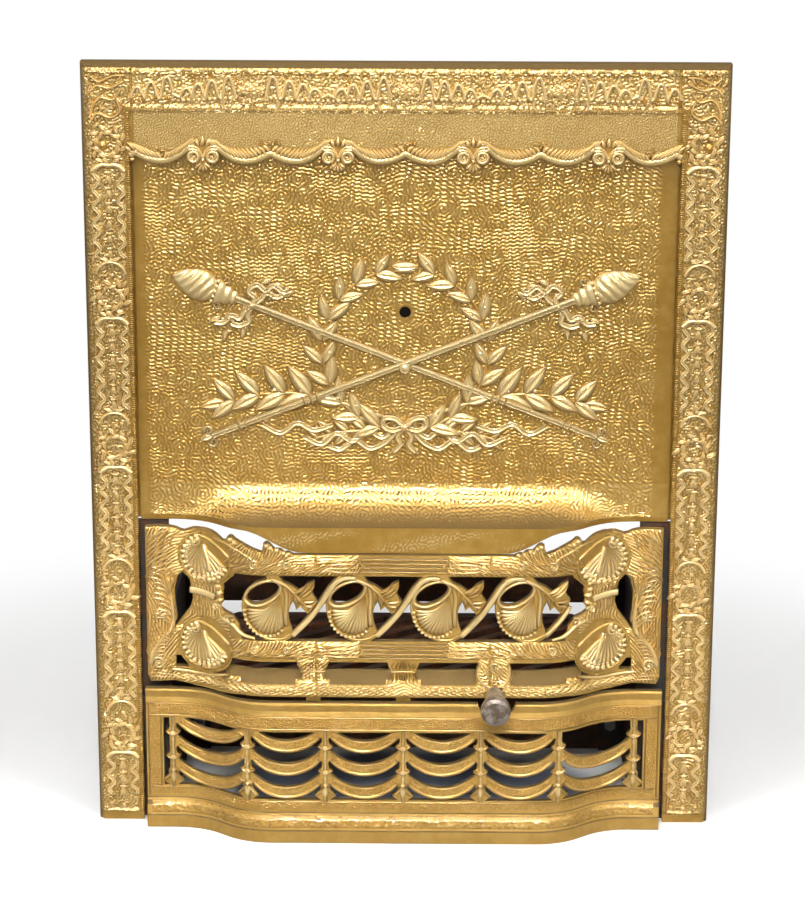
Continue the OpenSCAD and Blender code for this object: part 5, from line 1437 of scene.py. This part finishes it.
def makeAshFront():
    a = ashSet
    rng = np.random.default_rng(a["seed"])
    lines, dots, stems = Relief(), Relief(), Relief()
    span, deep, shallow = a["bay"] / 2 - 1, a["pitch"] * 0.9, a["pitch"] * 0.39
    lowRadius, highRadius = span * 1.19, span * 1.21
    phi = math.asin((span - 3.2) / lowRadius)
    for bay in range(6):
        x0 = (bay - 2.5) * a["bay"]
        for row in range(3):
            if bay == 5 and row == 0:
                continue
            z0 = a["high"] - row * a["pitch"]
            arc = [(x0 + (lowRadius - 2.2) * math.sin(t), z0 + lowRadius - deep - (lowRadius - 2.2) * math.cos(t))
                   for t in np.linspace(-phi, phi, 34)]
            lines.add(rope(arc, 1.9, 0.95))
            inner = [(x0 + (highRadius + 1) * math.sin(t), z0 + highRadius - shallow - (highRadius + 1) * math.cos(t))
                     for t in np.linspace(-0.8, 0.8, 26)]
            lines.add(rope(inner, 0.7, 1.1, 5))
            for k in range(a["swagDots"]):
                u = rng.uniform(-span + 5, span - 5)
                low = lowRadius - deep - math.sqrt(lowRadius ** 2 - u * u) + 5.2
                high = highRadius - shallow - math.sqrt(highRadius ** 2 - u * u) - 2.2
                dots.add(smallBead, scale=rng.uniform(0.75, 1.1), at=(x0 + u, z0 + rng.uniform(low, high)), tall=0.8)
    for k in range(7):
        x = (k - 3) * a["bay"]
        stems.add(rope([(x, a["low"] - 2), (x, 60), (x, 90), (x, a["high"] + 2)], 1.9, 1.3))
        for row in range(2):
            z = a["high"] - a["pitch"] * (row * 1.05 + 0.62)
            for s in (-1, 1):
                stems.blade([(x, z - 3.5), (x + s * 3.4, z - 1.8), (x + s * 7.2, z + 0.6)], 1.9, 2.6, 4)
                stems.blade([(x, z + 6), (x + s * 2.2, z + 6.5), (x + s * 3.3, z + 9.5)], 1.2, 2.0, 4)
            stems.add(rosette(2.6, 4, 2.0), at=(x, z - 1), rise=1.6)
            stems.add(leaf(9, 4.4, 2.2, 0.6), angle=180, at=(x, z - 3), rise=1.0)
        for s in (-1, 1):
            stems.blade([(x + s * 0.8, 57), (x + s * 4.6, 52), (x + s * 8, 48.6), (x + s * 10, 46.5)], 1.8, 2.6)
            stems.blade([(x, 62), (x + s * 3.4, 58.6), (x + s * 4.4, 55)], 1.6, 2.4)
        stems.add(leaf(13, 7.5, 3.2, 0.6), angle=180, at=(x, 58), rise=0.6)
        stems.knob(2.2, (x, 59), rise=1.6)
    half, (low, high), (wide, tall) = a["half"], a["band"], a["bandStep"]
    us, vs = np.arange(-half + 1, half - 1, wide), np.arange(low, high, tall)
    grain = np.random.default_rng(a["bandSeed"]).normal(0, 1, (len(vs), len(us)))
    grain = grain + 0.6 * (np.roll(grain, 1, 0) + np.roll(grain, 1, 1) + np.roll(grain, -1, 1))
    v = np.repeat(vs[:, None], len(us), 1)
    edge = np.clip(np.minimum(v - low, high - 0.5 - v) / 2.0, 0, 1)
    proud = 0.1 + 0.55 * np.clip(grain * 0.3 + 0.5, 0, 1.2) * edge
    skin("ashRoughBand", us, vs, proud, ashFoot, "rough", "ash_panel", sink=0.6, top=0.9, bent=True)
    across = np.linspace(-half, half, 90)
    for z, wide in ((116.6, 0.9), (129.0, 0.9), (40.6, 0.9)):
        for part in ((across[across < 73] if z > 128 else across), across[across > 109]):
            lines.add(rope([(x, z) for x in part], wide, 1.2, 5))
    for s in (-1, 1):
        lines.add(rope([(s * 240.5, 40), (s * 240.5, 80), (s * 240.5, 117)], 0.9, 1.2, 5))
        lines.add(rope([(s * 252.5, 32), (s * 252.5, 80), (s * 252.5, 129)], 0.9, 1.2, 5))
    for k in range(a["borderDots"]):
        u = rng.uniform(-half + 2, half - 2)
        v = rng.choice((rng.uniform(118.2, 127.6), rng.uniform(118.2, 127.6), rng.uniform(33.5, 39.4)))
        if v > 60 and math.hypot(u - a["notch"][0], v - a["notch"][1]) < a["notchClear"]:
            continue
        dots.add(smallBead, scale=rng.uniform(0.7, 1.15), at=(u, v), tall=0.8)
    for k in range(a["sideDots"]):
        for s in (-1, 1):
            dots.add(smallBead, scale=rng.uniform(0.7, 1.15), tall=0.8,
                     at=(s * rng.uniform(242.2, 250.8), rng.uniform(42, 117)))
    lines.build("ashLines", onBow(), "creamy", "ash_panel")
    dots.build("ashStipple", onBow(), "bright", "ash_panel", smooth=60)
    stems.build("ashStems", onBow(), "creamy", "ash_panel")


makeAshFront()
print("ash front")

bpy.context.view_layer.update()
